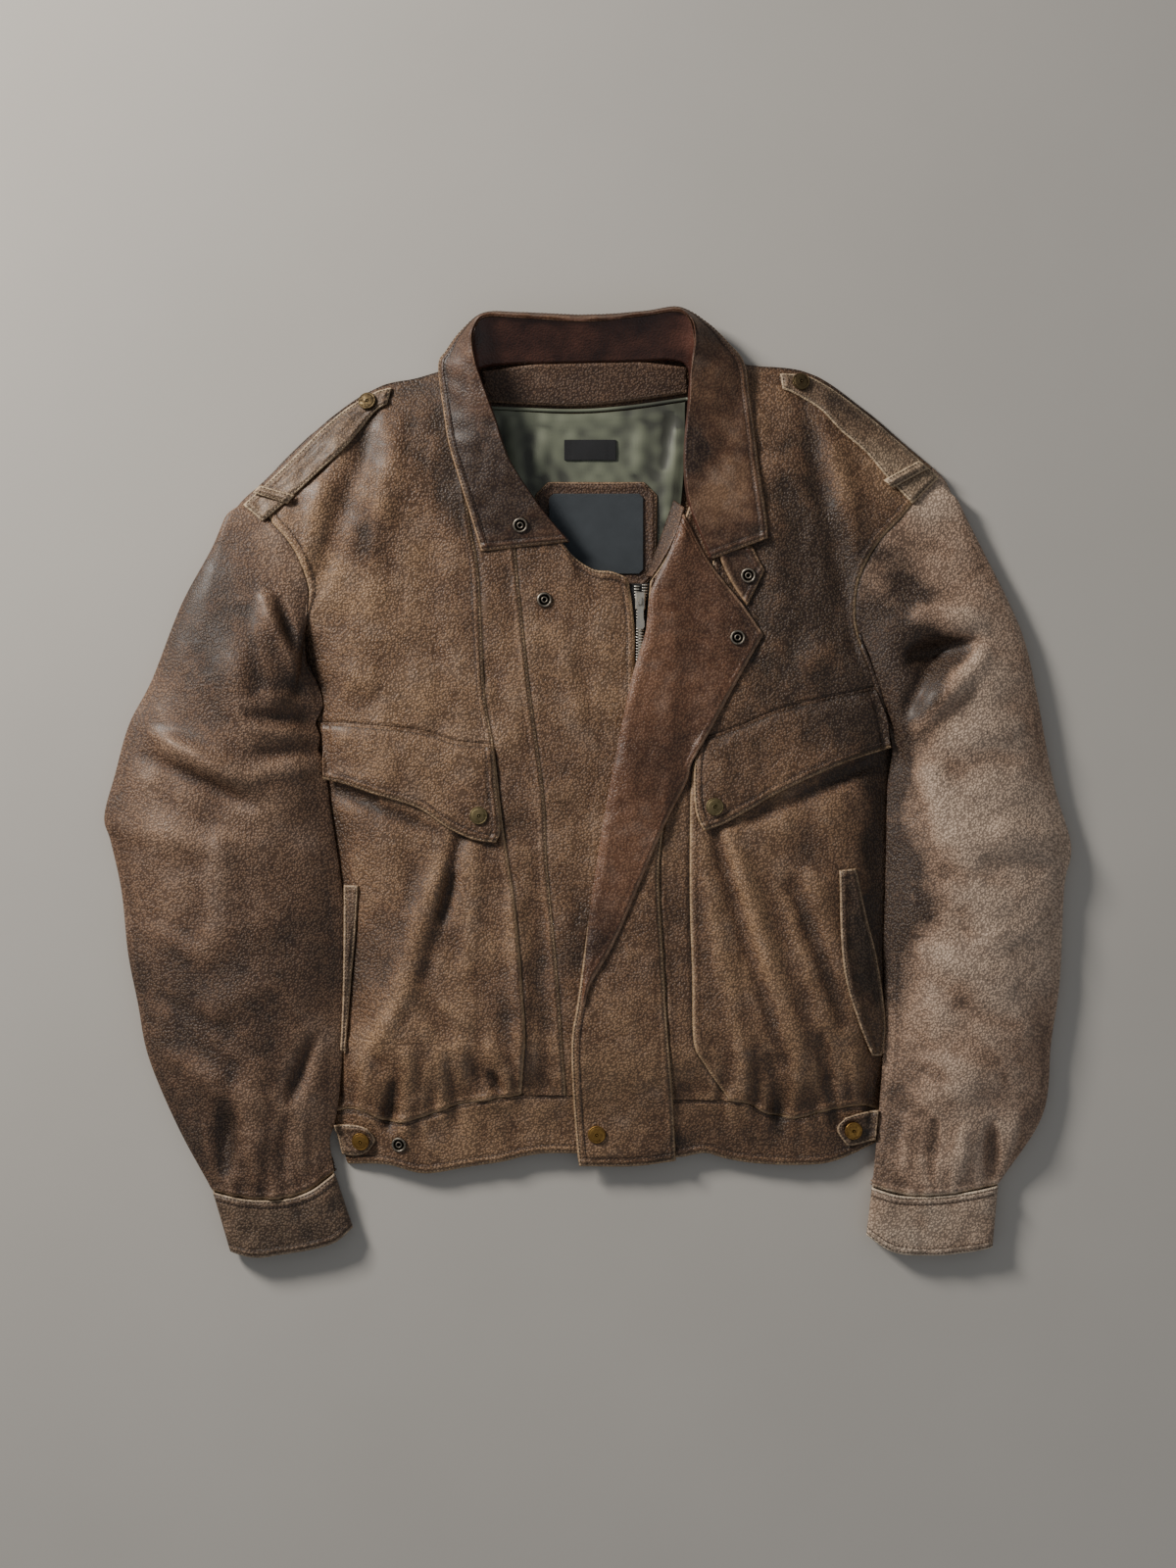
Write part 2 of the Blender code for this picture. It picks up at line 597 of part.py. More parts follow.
def seams(side):
    """The shared seams of one side, cut into the pieces that the panels beside them share."""
    upper, lower = ARMHOLE_PIECES[side]
    right = side == "right"
    return {
        "shoulder": evenly(SHOULDER[side], SHOULDER_PIECES),
        "armhole": evenly(ARMHOLE_UPPER[side], upper),
        "underarm": evenly(ARMHOLE_LOWER[side], lower),
        "side": evenly(SIDE[side], SIDE_PIECES),
        "yoke": evenly(YOKE_SEAM[side], YOKE_PIECES),
        "edge_upper": evenly(STRIP_EDGE_UPPER[side], upper + lower if right else upper),
        "edge_lower": evenly(STRIP_EDGE_LOWER[side], SIDE_PIECES if right else lower + SIDE_PIECES),
        "waist": evenly(WAIST_SEAM[side], WAIST_PIECES)[::-1],
    }


def make_front(side, cut):
    """The yoke, lower front, strip, placket and waistband of one side; returns them by name."""
    right = side == "right"
    outer_yoke = joined(cut["armhole"], cut["underarm"]) if right else cut["armhole"]
    outer_front = cut["side"] if right else joined(cut["underarm"], cut["side"])
    yoke = patch(cut["shoulder"], cut["yoke"], cut["edge_upper"], outer_yoke)
    front = patch(cut["yoke"], cut["waist"], cut["edge_lower"], outer_front)
    edge = joined(cut["edge_upper"], cut["edge_lower"])
    placket_rows = len(edge) - 1 - NECK_PIECES
    placket_seam = evenly(PLACKET_SEAM[side], placket_rows)
    strip_side = joined(evenly(NECK_LINE[side], NECK_PIECES), placket_seam)
    strip_top = evenly([edge[0], strip_side[0]], STRIP_PIECES)
    strip_bottom = evenly([edge[-1], strip_side[-1]], STRIP_PIECES)
    strip = patch(strip_top, strip_bottom, edge, strip_side)
    zip_edge = evenly(ZIP_EDGE[side], placket_rows)
    columns = PLACKET_PIECES[side]
    placket_top = evenly(PLACKET_NECK[side], columns)
    placket_bottom = evenly([placket_seam[-1], zip_edge[-1]], columns)
    placket = patch(placket_top, placket_bottom, placket_seam, zip_edge)
    waist_top = joined(cut["waist"][::-1], strip_bottom, placket_bottom)
    hem = evenly(HEM[side], len(waist_top) - 1)
    waist_end = evenly([waist_top[-1], hem[-1]], BAND_PIECES)
    waistband = patch(waist_top, hem, evenly(WAIST_SIDE[side], BAND_PIECES), waist_end)
    plans = {"yoke": yoke, "front": front, "strip": strip, "placket": placket, "waistband": waistband}
    made = {}
    for name, plan in plans.items():
        plan = inset(plan, SEAM_GAP)
        points = with_height(plan, front_height(plan))
        made[name] = shell(f"{name}_{side}", points, WALL, "leather", outward=False)
    return made


def sleeve_plan(side, cut):
    """The plan and heights of a sleeve's upper panel, from the armhole down to the cuff."""
    head = joined(cut["armhole"], cut["underarm"] if side == "left" else cut["underarm"][:1])
    columns = len(head) - 1
    v = np.linspace(0, 1, SLEEVE_ROWS + 1)
    outer, inner = smooth(SLEEVE_OUTER[side], v), smooth(SLEEVE_INNER[side], v)
    across = np.r_[0, (1 - np.cos(np.linspace(0, np.pi, columns - 1))) / 2, 1]
    foot = smooth(CUFF_TOP[side], across)
    rest = outer[:, None] * (1 - across[None, :, None]) + inner[:, None] * across[None, :, None]
    head_turn = head - (head[0] * (1 - across[:, None]) + head[-1] * across[:, None])
    foot_turn = foot - (foot[0] * (1 - across[:, None]) + foot[-1] * across[:, None])
    reach = HEAD_REACH[0] + HEAD_REACH[1] * np.sin(np.pi * across)
    near_head, near_foot = soft_step(1 - v[:, None] / reach[None]), soft_step((v - 1) / FOOT_REACH + 1)
    plan = rest + near_head[..., None] * head_turn + near_foot[:, None, None] * foot_turn
    width = np.linalg.norm(inner - outer, axis=1)
    settle = soft_step(v / HEAD_BLEND)
    tucked = soft_step(v * SLEEVE_ROWS)
    inward = (inner - outer) / width[:, None] * (SLEEVE_TUCK * tucked)[:, None]
    plan[:, 0] += inward
    plan[:, -1] -= inward
    top = np.interp(v, *np.array(SLEEVE_HEIGHT).T)[:, None]
    arch = SLEEVE_SIDE + (top - SLEEVE_SIDE) * np.sin(np.pi * across[None]) ** SLEEVE_POWER
    arch += fold_relief(plan, SLEEVE_FOLDS[side]) * np.sin(np.pi * across[None]) ** FOLD_FADE
    arch[:, 0] = arch[:, -1] = FLOOR_LEVEL
    inset_plan = inset(plan, SEAM_GAP)
    meeting = front_height(inset_plan[0])[None]
    height = meeting * (1 - settle[:, None]) + arch * settle[:, None]
    return inset_plan, height


def make_sleeve(side, cut):
    """The upper and the under panel of one sleeve."""
    plan, height = sleeve_plan(side, cut)
    upper = shell(f"sleeve_{side}_top", with_height(plan, height), WALL, "leather", outward=False)
    outline = np.vstack([plan[0], plan[1:-1, -1], plan[-1][::-1], plan[1:-1, 0][::-1]])
    flat_piece(f"sleeve_{side}_under", outline, WALL, "leather")
    return upper


def make_cuff(side):
    """A cuff: a flattened ring between the end of the sleeve and its own open end."""
    turn = np.linspace(0, 2 * np.pi, CUFF_COLUMNS, endpoint=False)
    across = 0.5 - 0.5 * np.sign(np.cos(turn)) * np.abs(np.cos(turn)) ** CUFF_SIDE_POWER
    level = np.sign(np.sin(turn)) * np.minimum(1, CUFF_FLATNESS * np.abs(np.sin(turn)) ** CUFF_FACE_POWER)
    top, end = smooth(CUFF_TOP[side], across), smooth(CUFF_END[side], across)
    down = (end - top) / np.linalg.norm(end - top, axis=1)[:, None]
    top = top + down * (SEAM_GAP + REST_GAP)
    rows = []
    for share in CUFF_SHARES:
        tall = CUFF_HEIGHT[0] + share * (CUFF_HEIGHT[1] - CUFF_HEIGHT[0])
        plan = top + share * (end - top)
        rows.append(with_height(plan, tall / 2 * (1 + level)))
    return shell(f"cuff_{side}", np.array(rows), WALL, "leather", outward=False, closed=True)


def collar_points(tree):
    """The collar's visible face: rows from the fall's edge over the crest to the foot, one row a station."""
    fall, crest, foot = (evenly([station[k] for station in COLLAR], COLLAR_STATIONS) for k in range(3))
    low = levels(tree, fall, 0) + REST_GAP + COLLAR_WALL
    fall = with_height(fall, low)
    rows = []
    for share, lift in COLLAR_FALL:
        row = fall + share * (crest - fall)
        row[:, 2] = fall[:, 2] + lift * (crest[:, 2] - fall[:, 2])
        rows.append(row)
    rows.append(crest)
    for share in COLLAR_STAND:
        rows.append(crest + share * (foot - crest))
    grid = np.array(rows)
    height = lie_on(grid[..., :2], tree, REST_GAP + COLLAR_WALL, grid[..., 2], beyond=0)
    return with_height(grid[..., :2], height)


def make_collar(tree):
    """The collar, the band that it stands on, and the cord sewn along the band."""
    shell("collar", collar_points(tree), COLLAR_WALL, "collar", outward=False)
    rows, columns = GRIDS["neck_band"]
    share = np.linspace(0, 1, rows + 1)[:, None, None]
    top, bottom = evenly(NECK_BAND["top"], columns), evenly(NECK_BAND["bottom"], columns)
    plan = top[None] * (1 - share) + bottom[None] * share
    height = COLLAR_FOOT_Z + (BAND_FOOT_Z - COLLAR_FOOT_Z) * share[..., 0] ** BAND_BEND
    height = np.broadcast_to(height, plan.shape[:2])
    shell("neck_band", with_height(plan, height), WALL, "facing", outward=False)


def make_piping():
    """The round cord sewn between the neck band and the lining."""
    data = bpy.data.curves.new("lining_piping", "CURVE")
    data.dimensions = "3D"
    data.bevel_depth = PIPING["radius"] * MM
    data.bevel_resolution = 2
    data.use_fill_caps = True
    spline = data.splines.new("POLY")
    line = evenly(PIPING["line"], PIPING["points"])
    spline.points.add(len(line) - 1)
    for point, (x, y) in zip(spline.points, line):
        point.co = (x * MM, y * MM, PIPING["height"] * MM, 1)
    place(bpy.data.objects.new("lining_piping", data), "lining")


def four_sided(shape, rows, columns):
    """The plan of a piece given by its four edges."""
    return patch(
        evenly(shape["top"], columns), evenly(shape["bottom"], columns),
        evenly(shape["left"], rows), evenly(shape["right"], rows),
    )


def chamfered(shape, rows, columns):
    """The plan of a label, whose corners are cut off."""
    (x0, x1), (y0, y1), cut = shape["x"], shape["y"], shape["chamfer"]
    y = np.linspace(y1, y0, rows + 1)
    from_end = np.minimum(y1 - y, y - y0)
    narrow = np.maximum(0, cut - from_end)
    u = np.linspace(0, 1, columns + 1)
    x = (x0 + narrow)[:, None] * (1 - u) + (x1 - narrow)[:, None] * u
    return np.stack([x, np.repeat(y[:, None], columns + 1, axis=1)], axis=-1)


def make_lining():
    """The lining inside the back, its labels, and the cord above it."""
    plan = four_sided(LINING, *GRIDS["lining"])
    step, height = LINING_WAVES
    wave = 1 + np.sin(2 * np.pi * plan[..., 0] / step + plan[..., 1] / step)
    start = WALL + REST_GAP + height * wave / 2
    lining = shell("lining", with_height(plan, start), LINING_WALL, "lining", outward=True)
    tree = tree_of([lining])
    backing = chamfered(LABEL_PATCH, *GRIDS["label_patch"])
    small = chamfered(LABEL_SMALL, *GRIDS["label_small"])
    cloth = chamfered(LABEL_CLOTH, *GRIDS["label_cloth"])
    patch_label = overlay("label_patch", backing, tree, TRIM_WALL, "facing")
    overlay("label_small", small, tree, LINING_WALL, "label")
    overlay("label_cloth", cloth, tree_of([patch_label]), LINING_WALL, "slate")
    make_piping()


def make_back(cuts):
    """The back panel and the back of the waistband, flat on the floor."""
    right, left = cuts["right"], cuts["left"]
    neck = evenly([right["shoulder"][0], *BACK_NECK, left["shoulder"][0]], BACK_NECK_PIECES)
    side_right = joined(right["armhole"], right["underarm"], right["side"])
    side_left = joined(left["armhole"], left["underarm"], left["side"])
    outline = np.vstack([
        right["shoulder"][::-1][:-1], neck, left["shoulder"][1:], side_left[1:], side_right[1:][::-1],
    ])
    middle = outline.mean(axis=0)
    outline = middle + (outline - middle) * (1 - SEAM_GAP / EDGE_ROLL)
    flat_piece("back_panel", outline, WALL, "leather")
    hem_right, hem_left = evenly(HEM["right"], BACK_HEM_PIECES), evenly(HEM["left"], BACK_HEM_PIECES)
    corners = [WAIST_SIDE["right"][0], *hem_right, *hem_left[:-1][::-1], WAIST_SIDE["left"][0]]
    band = np.array(corners, float)
    band[[0, -1], 1] -= 2 * REST_GAP
    flat_piece("waistband_back", band, WALL, "leather")


def turned(name, profile, radius, height, finish):
    """A round piece turned about Z from a profile in shares of its radius and height."""
    mesh = bpy.data.meshes.new(name)
    points = [(across * radius * MM, 0, up * height * MM) for across, up in profile]
    mesh.from_pydata(points, [(i, i + 1) for i in range(len(points) - 1)], [])
    thing = bpy.data.objects.new(name, mesh)
    spin = thing.modifiers.new("turn", "SCREW")
    spin.steps = SNAP_STEPS
    spin.render_steps = SNAP_STEPS
    spin.use_merge_vertices = True
    spin.merge_threshold = 0.00001
    return place(thing, finish)


def stand_on(thing, x, y, tree, radius):
    """Stand a round piece on the face below it, tilted as that face is."""
    turns = np.linspace(0, 2 * math.pi, STAND_SPOTS, endpoint=False)
    ring = [(radius * math.cos(a), radius * math.sin(a)) for a in turns]
    spots = np.array([(0, 0), *ring, *[(0.5 * a, 0.5 * b) for a, b in ring]])
    heights = np.array([level_below(tree, x + a, y + b) for a, b in spots])
    lean = np.linalg.lstsq(np.column_stack([spots, np.ones(len(spots))]), heights, rcond=None)[0]
    up = Vector((-lean[0], -lean[1], 1)).normalized()
    over = (heights - spots @ lean[:2]).max()
    thing.rotation_euler = up.to_track_quat("Z", "Y").to_euler()
    thing.location = Vector((x, y, over)) * MM + up * REST_GAP * MM


def make_snaps(tree):
    """The snap caps, which are domed, and the sockets, which are rings with a hollow middle."""
    for name, (x, y) in SNAPS.items():
        cap = turned(name, CAP_PROFILE, SNAP_RADIUS, SNAP_HEIGHT, "brass")
        stand_on(cap, x, y, tree, SNAP_RADIUS)
    for name, (x, y) in SOCKETS.items():
        ring = turned(name, SOCKET_PROFILE, SOCKET_RADIUS, SOCKET_HEIGHT, "gunmetal")
        stand_on(ring, x, y, tree, SOCKET_RADIUS)


def make_zip():
    """The tape under the two front edges, the slider with its bridge, and the pull that hangs on it."""
    line = evenly(ZIP_LINE, ZIP_PIECES)
    plan = line[:, None] + np.array([(-TAPE_HALF, 0), (0, 0), (TAPE_HALF, 0)])[None]
    tape = with_height(plan, front_height(plan) - TAPE_DROP)
    shell("zip_tape", tape, LINING_WALL, "tape", outward=False)
    spots = np.array([[SLIDER_X, SLIDER_Y - SLIDER_LENGTH / 2], [SLIDER_X, SLIDER_Y]])
    ground = float(front_height(spots).max())
    foot = ground - TAPE_DROP + REST_GAP
    axis_z = foot + SLIDER_HEIGHT + AXIS_RISE
    make_slider(foot, axis_z)
    make_pull(axis_z)


def block(name, size, place_at):
    """A plain block that joins or cuts another piece."""
    mesh = bpy.data.meshes.new(name)
    form = bmesh.new()
    bmesh.ops.create_cube(form, size=1)
    bmesh.ops.scale(form, vec=Vector(size) * MM, verts=form.verts)
    form.to_mesh(mesh)
    form.free()
    thing = bpy.data.objects.new(name, mesh)
    thing.location = Vector(place_at) * MM
    thing.hide_render = True
    thing.display_type = "WIRE"
    CUTTERS.objects.link(thing)
    return thing


def make_slider(foot, axis_z):
    """The slider: a bevelled body, and a lengthwise bridge on it that the pull's eye hangs on."""
    mesh = bpy.data.meshes.new("zip_slider")
    form = bmesh.new()
    body = (SLIDER_WIDTH, SLIDER_LENGTH, SLIDER_HEIGHT)
    bmesh.ops.create_cube(form, size=1)
    bmesh.ops.scale(form, vec=Vector(body) * MM, verts=form.verts)
    bmesh.ops.bevel(form, geom=form.edges[:], offset=SLIDER_BEVEL * MM, segments=1, affect="EDGES")
    form.to_mesh(mesh)
    form.free()
    slider = bpy.data.objects.new("zip_slider", mesh)
    slider.location = Vector((SLIDER_X, SLIDER_Y, foot + SLIDER_HEIGHT / 2)) * MM
    place(slider, "nickel")
    under, over = BRIDGE_BAR + EYE_PLAY, 2 * BRIDGE_BAR + EYE_PLAY
    sunk = AXIS_RISE + SLIDER_BEVEL
    bridge = block("bridge_block", (BRIDGE_WIDTH, 2 * BRIDGE_REACH, over + sunk),
                   (SLIDER_X, SLIDER_Y, axis_z + (over - sunk) / 2))
    grooved = AXIS_RISE + EYE_PLAY / 2
    eye = block("bridge_eye", (2 * BRIDGE_WIDTH, 2 * (BRIDGE_REACH - BRIDGE_BAR), under + grooved),
                (SLIDER_X, SLIDER_Y, axis_z + (under - grooved) / 2))
    for name, cutter, what in (("bridge", bridge, "UNION"), ("eye", eye, "DIFFERENCE")):
        join = slider.modifiers.new(name, "BOOLEAN")
        join.operation = what
        join.object = cutter


def make_pull(axis_z):
    """The pull tab, which lies towards the hem and hangs by its eye on the bridge; its origin is its axis."""
    near, far = PULL_EYE
    side = [(share * PULL_WIDTH / 2, y) for share, y in PULL_SIDE]
    outer = side + [(-x, y) for x, y in reversed(side)]
    eye = [(-PULL_EYE_HALF, near), (-PULL_EYE_HALF, far), (PULL_EYE_HALF, far), (PULL_EYE_HALF, near)]
    data = bpy.data.curves.new("zip_pull", "CURVE")
    data.dimensions = "2D"
    data.fill_mode = "BOTH"
    data.extrude = PULL_THICK * MM / 2
    for outline in (outer, eye):
        spline = data.splines.new("POLY")
        spline.points.add(len(outline) - 1)
        for point, (x, y) in zip(spline.points, outline):
            point.co = (x * MM, y * MM, 0, 1)
        spline.use_cyclic_u = True
    pull = bpy.data.objects.new("zip_pull", data)
    pull.location = Vector((SLIDER_X, SLIDER_Y, axis_z)) * MM
    place(pull, "nickel")


def make_overlays(fronts, sleeves):
    """The pieces sewn on or turned over the fronts, the lowest first; returns the collar tab."""
    lower = {side: tree_of([fronts[side][n] for n in ("front", "strip", "yoke")]) for side in fronts}
    waists = {side: tree_of([fronts[side][n] for n in ("front", "waistband")]) for side in fronts}
    flaps = {}
    for side in fronts:
        flap = four_sided(CHEST_FLAP[side], *GRIDS["chest_flap"])
        flaps[side] = overlay(f"chest_flap_{side}", flap, lower[side], WALL, "leather")
        welt = {**WELT[side], "top": [WELT[side]["left"][0], WELT[side]["right"][0]]}
        welt["bottom"] = [welt["left"][-1], welt["right"][-1]]
        opening = four_sided(welt, *GRIDS["pocket_welt"])
        overlay(f"pocket_welt_{side}", opening, lower[side], TRIM_WALL, "leather")
        top = tree_of([fronts[side]["yoke"], sleeves[side]])
        strap = {**EPAULETTE[side]}
        strap["left"] = [strap["top"][0], strap["bottom"][0]]
        strap["right"] = [strap["top"][-1], strap["bottom"][-1]]
        epaulette = overlay(f"epaulette_{side}", four_sided(strap, *GRIDS["epaulette"]), top, WALL, "leather")
        (a, b), (c, d) = KEEPER[side]
        keeper = {"top": [a, c], "bottom": [b, d], "left": [a, b], "right": [c, d]}
        over = tree_of([epaulette, fronts[side]["yoke"], sleeves[side]])
        overlay(f"keeper_{side}", four_sided(keeper, *GRIDS["keeper"]), over, TRIM_WALL, "leather", TRIM_LIFT)
        waist_tab = four_sided(WAIST_TAB[side], *GRIDS["waist_tab"])
        overlay(f"waist_tab_{side}", waist_tab, waists[side], WALL, "leather", TRIM_LIFT)
    left = [fronts["left"][n] for n in ("placket", "strip", "yoke", "front", "waistband")]
    right = [fronts["right"][n] for n in ("placket", "waistband")]
    tab_plan = four_sided(COLLAR_TAB, *GRIDS["collar_tab"])
    tab = overlay("collar_tab_left", tab_plan, tree_of(left), WALL, "leather")
    fly = {"top": FLY_TOP, "bottom": FLY_BOTTOM, "left": FLY_LEFT, "right": FLY_RIGHT}
    flap = overlay("fly_flap", four_sided(fly, *GRIDS["fly"]), tree_of(left + right), WALL, "leather")
    turned_back = {"top": FACING_TOP, "bottom": FACING_BOTTOM, "left": FACING_LEFT, "right": FACING_RIGHT}
    under = left + right + [flap, tab, flaps["left"]]
    overlay("fly_facing", four_sided(turned_back, *GRIDS["facing"]), tree_of(under), WALL, "facing")
    return tab


def make_neck_facing():
    """The facing inside the left neck edge, which falls away towards the lining."""
    rows, columns = GRIDS["neck_facing"]
    outer, inner = evenly(NECK_FACING["outer"], rows), evenly(NECK_FACING["inner"], rows)
    share = np.linspace(0, 1, columns + 1)[None, :, None]
    plan = outer[:, None] * (1 - share) + inner[:, None] * share
    height = front_height(outer)[:, None] - NECK_FACING["drop"] * share[..., 0] - NECK_FACING["start"]
    shell("neck_facing_left", with_height(plan, height), WALL, "facing", outward=False)


def main():
    """Every piece of the jacket."""
    cuts = {side: seams(side) for side in ("right", "left")}
    make_back(cuts)
    make_lining()
    fronts = {side: make_front(side, cuts[side]) for side in cuts}
    sleeves = {side: make_sleeve(side, cuts[side]) for side in cuts}
    for side in cuts:
        make_cuff(side)
    collar_tab = make_overlays(fronts, sleeves)
    shoulders = [fronts[side][name] for side in fronts for name in ("yoke", "strip", "placket")]
    make_collar(tree_of(shoulders + [collar_tab]))
    make_neck_facing()
    make_zip()
    every = [thing for thing in HOME.objects if thing.type == "MESH" and thing.name != "zip_slider"]
    make_snaps(tree_of(every))


clear_scene()
HOME, ROOT = new_collection()
CUTTERS = bpy.data.collections.new("cutters")
bpy.context.scene.collection.children.link(CUTTERS)
main()
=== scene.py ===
# %% [markdown]
# # A worn leather blouson, laid flat on its back
#
# The real jacket is cut from brown pebbled cowhide, sewn with double rows of topstitching, lined with satin and
# closed by a zip under a fly with snaps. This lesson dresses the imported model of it. Each panel is worked out
# again as a fine surface over the same seams, and gets its beads, stitches, creases and wear.

import bpy
import numpy as np
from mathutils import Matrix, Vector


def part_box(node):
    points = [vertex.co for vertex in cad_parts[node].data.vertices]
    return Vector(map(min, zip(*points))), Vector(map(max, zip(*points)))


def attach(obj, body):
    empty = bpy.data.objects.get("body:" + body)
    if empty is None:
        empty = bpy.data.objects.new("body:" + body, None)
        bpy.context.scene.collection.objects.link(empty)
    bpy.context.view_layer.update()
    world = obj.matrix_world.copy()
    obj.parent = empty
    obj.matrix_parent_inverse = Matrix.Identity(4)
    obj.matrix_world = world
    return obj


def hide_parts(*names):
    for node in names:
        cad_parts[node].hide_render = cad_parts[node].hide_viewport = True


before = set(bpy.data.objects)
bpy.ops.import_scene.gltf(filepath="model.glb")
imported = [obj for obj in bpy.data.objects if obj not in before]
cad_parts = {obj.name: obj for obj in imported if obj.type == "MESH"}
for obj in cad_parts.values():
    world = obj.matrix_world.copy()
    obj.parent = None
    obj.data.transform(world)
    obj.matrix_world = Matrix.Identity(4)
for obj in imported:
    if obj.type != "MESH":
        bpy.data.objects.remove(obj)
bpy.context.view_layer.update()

# %% [markdown]
# The photograph looks straight down. A long lens from high up does the same with little perspective. The view
# is 1.44 m tall at the height of the jacket, which is what the photograph's long side covers.

# %% Camera
CAMERA_RISE = 2.42
JACKET_RISE = 0.02
VIEW_TALL = 1.44
CENTRE = (0.0, 0.0)

lens = bpy.data.cameras.new("camera")
lens.lens = lens.sensor_width * (CAMERA_RISE - JACKET_RISE) / VIEW_TALL
camera = bpy.data.objects.new("camera", lens)
camera.location = (*CENTRE, CAMERA_RISE)
bpy.context.scene.collection.objects.link(camera)
bpy.context.scene.camera = camera
print("lens", round(lens.lens, 1), "mm")

# %% [markdown]
# ## Light
# A window high on the upper left lights the real jacket, so folds are bright on that side and fall off softly
# on the other. One large area lamp does this, and a weak pale world fills the shadows.

# %% Lamps and world
LAMPS = {
    "window": ((-1.75, 1.45, 1.15), 0.55, 72.0, (1.0, 0.95, 0.89)),
    "bounce": ((1.6, -1.4, 1.9), 2.4, 4.0, (0.92, 0.95, 1.0)),
}
WORLD_STRENGTH = 0.2


def add_lamp(name, place, size, power, colour):
    """An area lamp that faces the middle of the jacket."""
    data = bpy.data.lights.new(name, "AREA")
    data.size = size
    data.energy = power
    data.color = colour
    lamp = bpy.data.objects.new(name, data)
    lamp.location = place
    lamp.rotation_euler = (-lamp.location).to_track_quat("-Z", "Y").to_euler()
    bpy.context.scene.collection.objects.link(lamp)


for lamp_name, lamp_values in LAMPS.items():
    add_lamp(lamp_name, *lamp_values)
world = bpy.data.worlds.new("studio")
world.use_nodes = True
world.node_tree.nodes["Background"].inputs["Color"].default_value = (0.95, 0.97, 1.0, 1.0)
world.node_tree.nodes["Background"].inputs["Strength"].default_value = WORLD_STRENGTH
bpy.context.scene.world = world
print("lamps", len(LAMPS))

# %% [markdown]
# ## Small tools for materials
# A material is a tree of nodes. One function adds a node with its settings and its links, and one turns the
# colour codes that painters and screens use into the linear numbers that the shader works with. A colour is
# laid up in layers, as dye, dirt and wear are on the real thing.

# %% Node and colour helpers
def linear(code):
    """An sRGB hex code as linear red, green, blue and alpha: the standard's curve, channel by channel."""
    parts = np.array([int(code[i:i + 2], 16) for i in (1, 3, 5)]) / 255
    bent = np.where(parts <= 0.04045, parts / 12.92, ((parts + 0.055) / 1.055) ** 2.4)
    return (*bent.tolist(), 1.0)


def add(tree, kind, inputs=(), out=0, **settings):
    """Add one node and give one output. Inputs go by order or by name, each a value, a code or an output."""
    node = tree.nodes.new("ShaderNode" + kind)
    for name, value in settings.items():
        setattr(node, name, value)
    named = inputs if isinstance(inputs, dict) else dict(enumerate(inputs))
    for name, value in named.items():
        if isinstance(value, bpy.types.NodeSocket):
            tree.links.new(value, node.inputs[name])
        else:
            node.inputs[name].default_value = linear(value) if isinstance(value, str) else value
    return node.outputs[out]


def layered(tree, values, base, layers):
    """A colour in layers: each covers those before it by a product of stretched values."""
    for spans, colour in layers:
        shares = [add(tree, "MapRange", [values[source], *span]) for source, *span in spans]
        share = shares[0]
        for other in shares[1:]:
            share = add(tree, "Math", [share, other], operation="MULTIPLY")
        base = add(tree, "Mix", {0: share, 6: base, 7: colour}, 2, data_type="RGBA")
    return base


def new_material(name, **plain):
    """A material with a Principled shader, whose plain sockets are set on the shader itself."""
    made = bpy.data.materials.new(name)
    made.use_nodes = True
    shader = made.node_tree.nodes["Principled BSDF"]
    for socket, value in plain.items():
        shader.inputs[socket.replace("_", " ")].default_value = value
    return made, made.node_tree, add(made.node_tree, "TexCoord", out="Object")


def finished(made, **outputs):
    """A material with outputs linked to its shader's sockets, named with an underscore for a space."""
    shader = made.node_tree.nodes["Principled BSDF"]
    for socket, output in outputs.items():
        made.node_tree.links.new(output, shader.inputs[socket.replace("_", " ")])
    return made


def clouded(name, size, detail, low, high, **plain):
    """A plain material in two colours, mixed by noise whose patches are about size metres across."""
    made, tree, place = new_material(name, **plain)
    sockets = {"Vector": place, "Scale": 1 / size, "Detail": detail, "Roughness": 0.55}
    cloud = add(tree, "TexNoise", sockets)
    return finished(made, Base_Color=layered(tree, {"cloud": cloud}, low, [([("cloud", 0, 1, 0, 1)], high)]))


# %% Floor
FLOOR_HALF = 4.0
FLOOR_DROP = -0.0005

floor_mesh = bpy.data.meshes.new("floor")
corners = [(-1, -1), (1, -1), (1, 1), (-1, 1)]
floor_mesh.from_pydata([(FLOOR_HALF * x, FLOOR_HALF * y, FLOOR_DROP) for x, y in corners], [], [(0, 1, 2, 3)])
floor_mesh.materials.append(clouded("matt_plaster_floor", 0.3, 5.0, "#BDB9B2", "#C9C5BE", Roughness=0.9))
floor = bpy.data.objects.new("floor", floor_mesh)
bpy.context.scene.collection.objects.link(floor)
print("floor", 2 * FLOOR_HALF, "m wide")

# %% [markdown]
# ## The seams
# A jacket is drawn by its seams. Each line below is a few points in millimetres, X to the wearer's left and Y
# from the hem to the collar, and panels that meet share a line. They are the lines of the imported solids.

# %% Lengths in millimetres
MM = 0.001
WALL = 1.8
COLLAR_WALL = 2.4
TRIM_WALL = 1.4
LINING_WALL = 1.0
REST_GAP = 0.5
FLOOR_LEVEL = 2.3

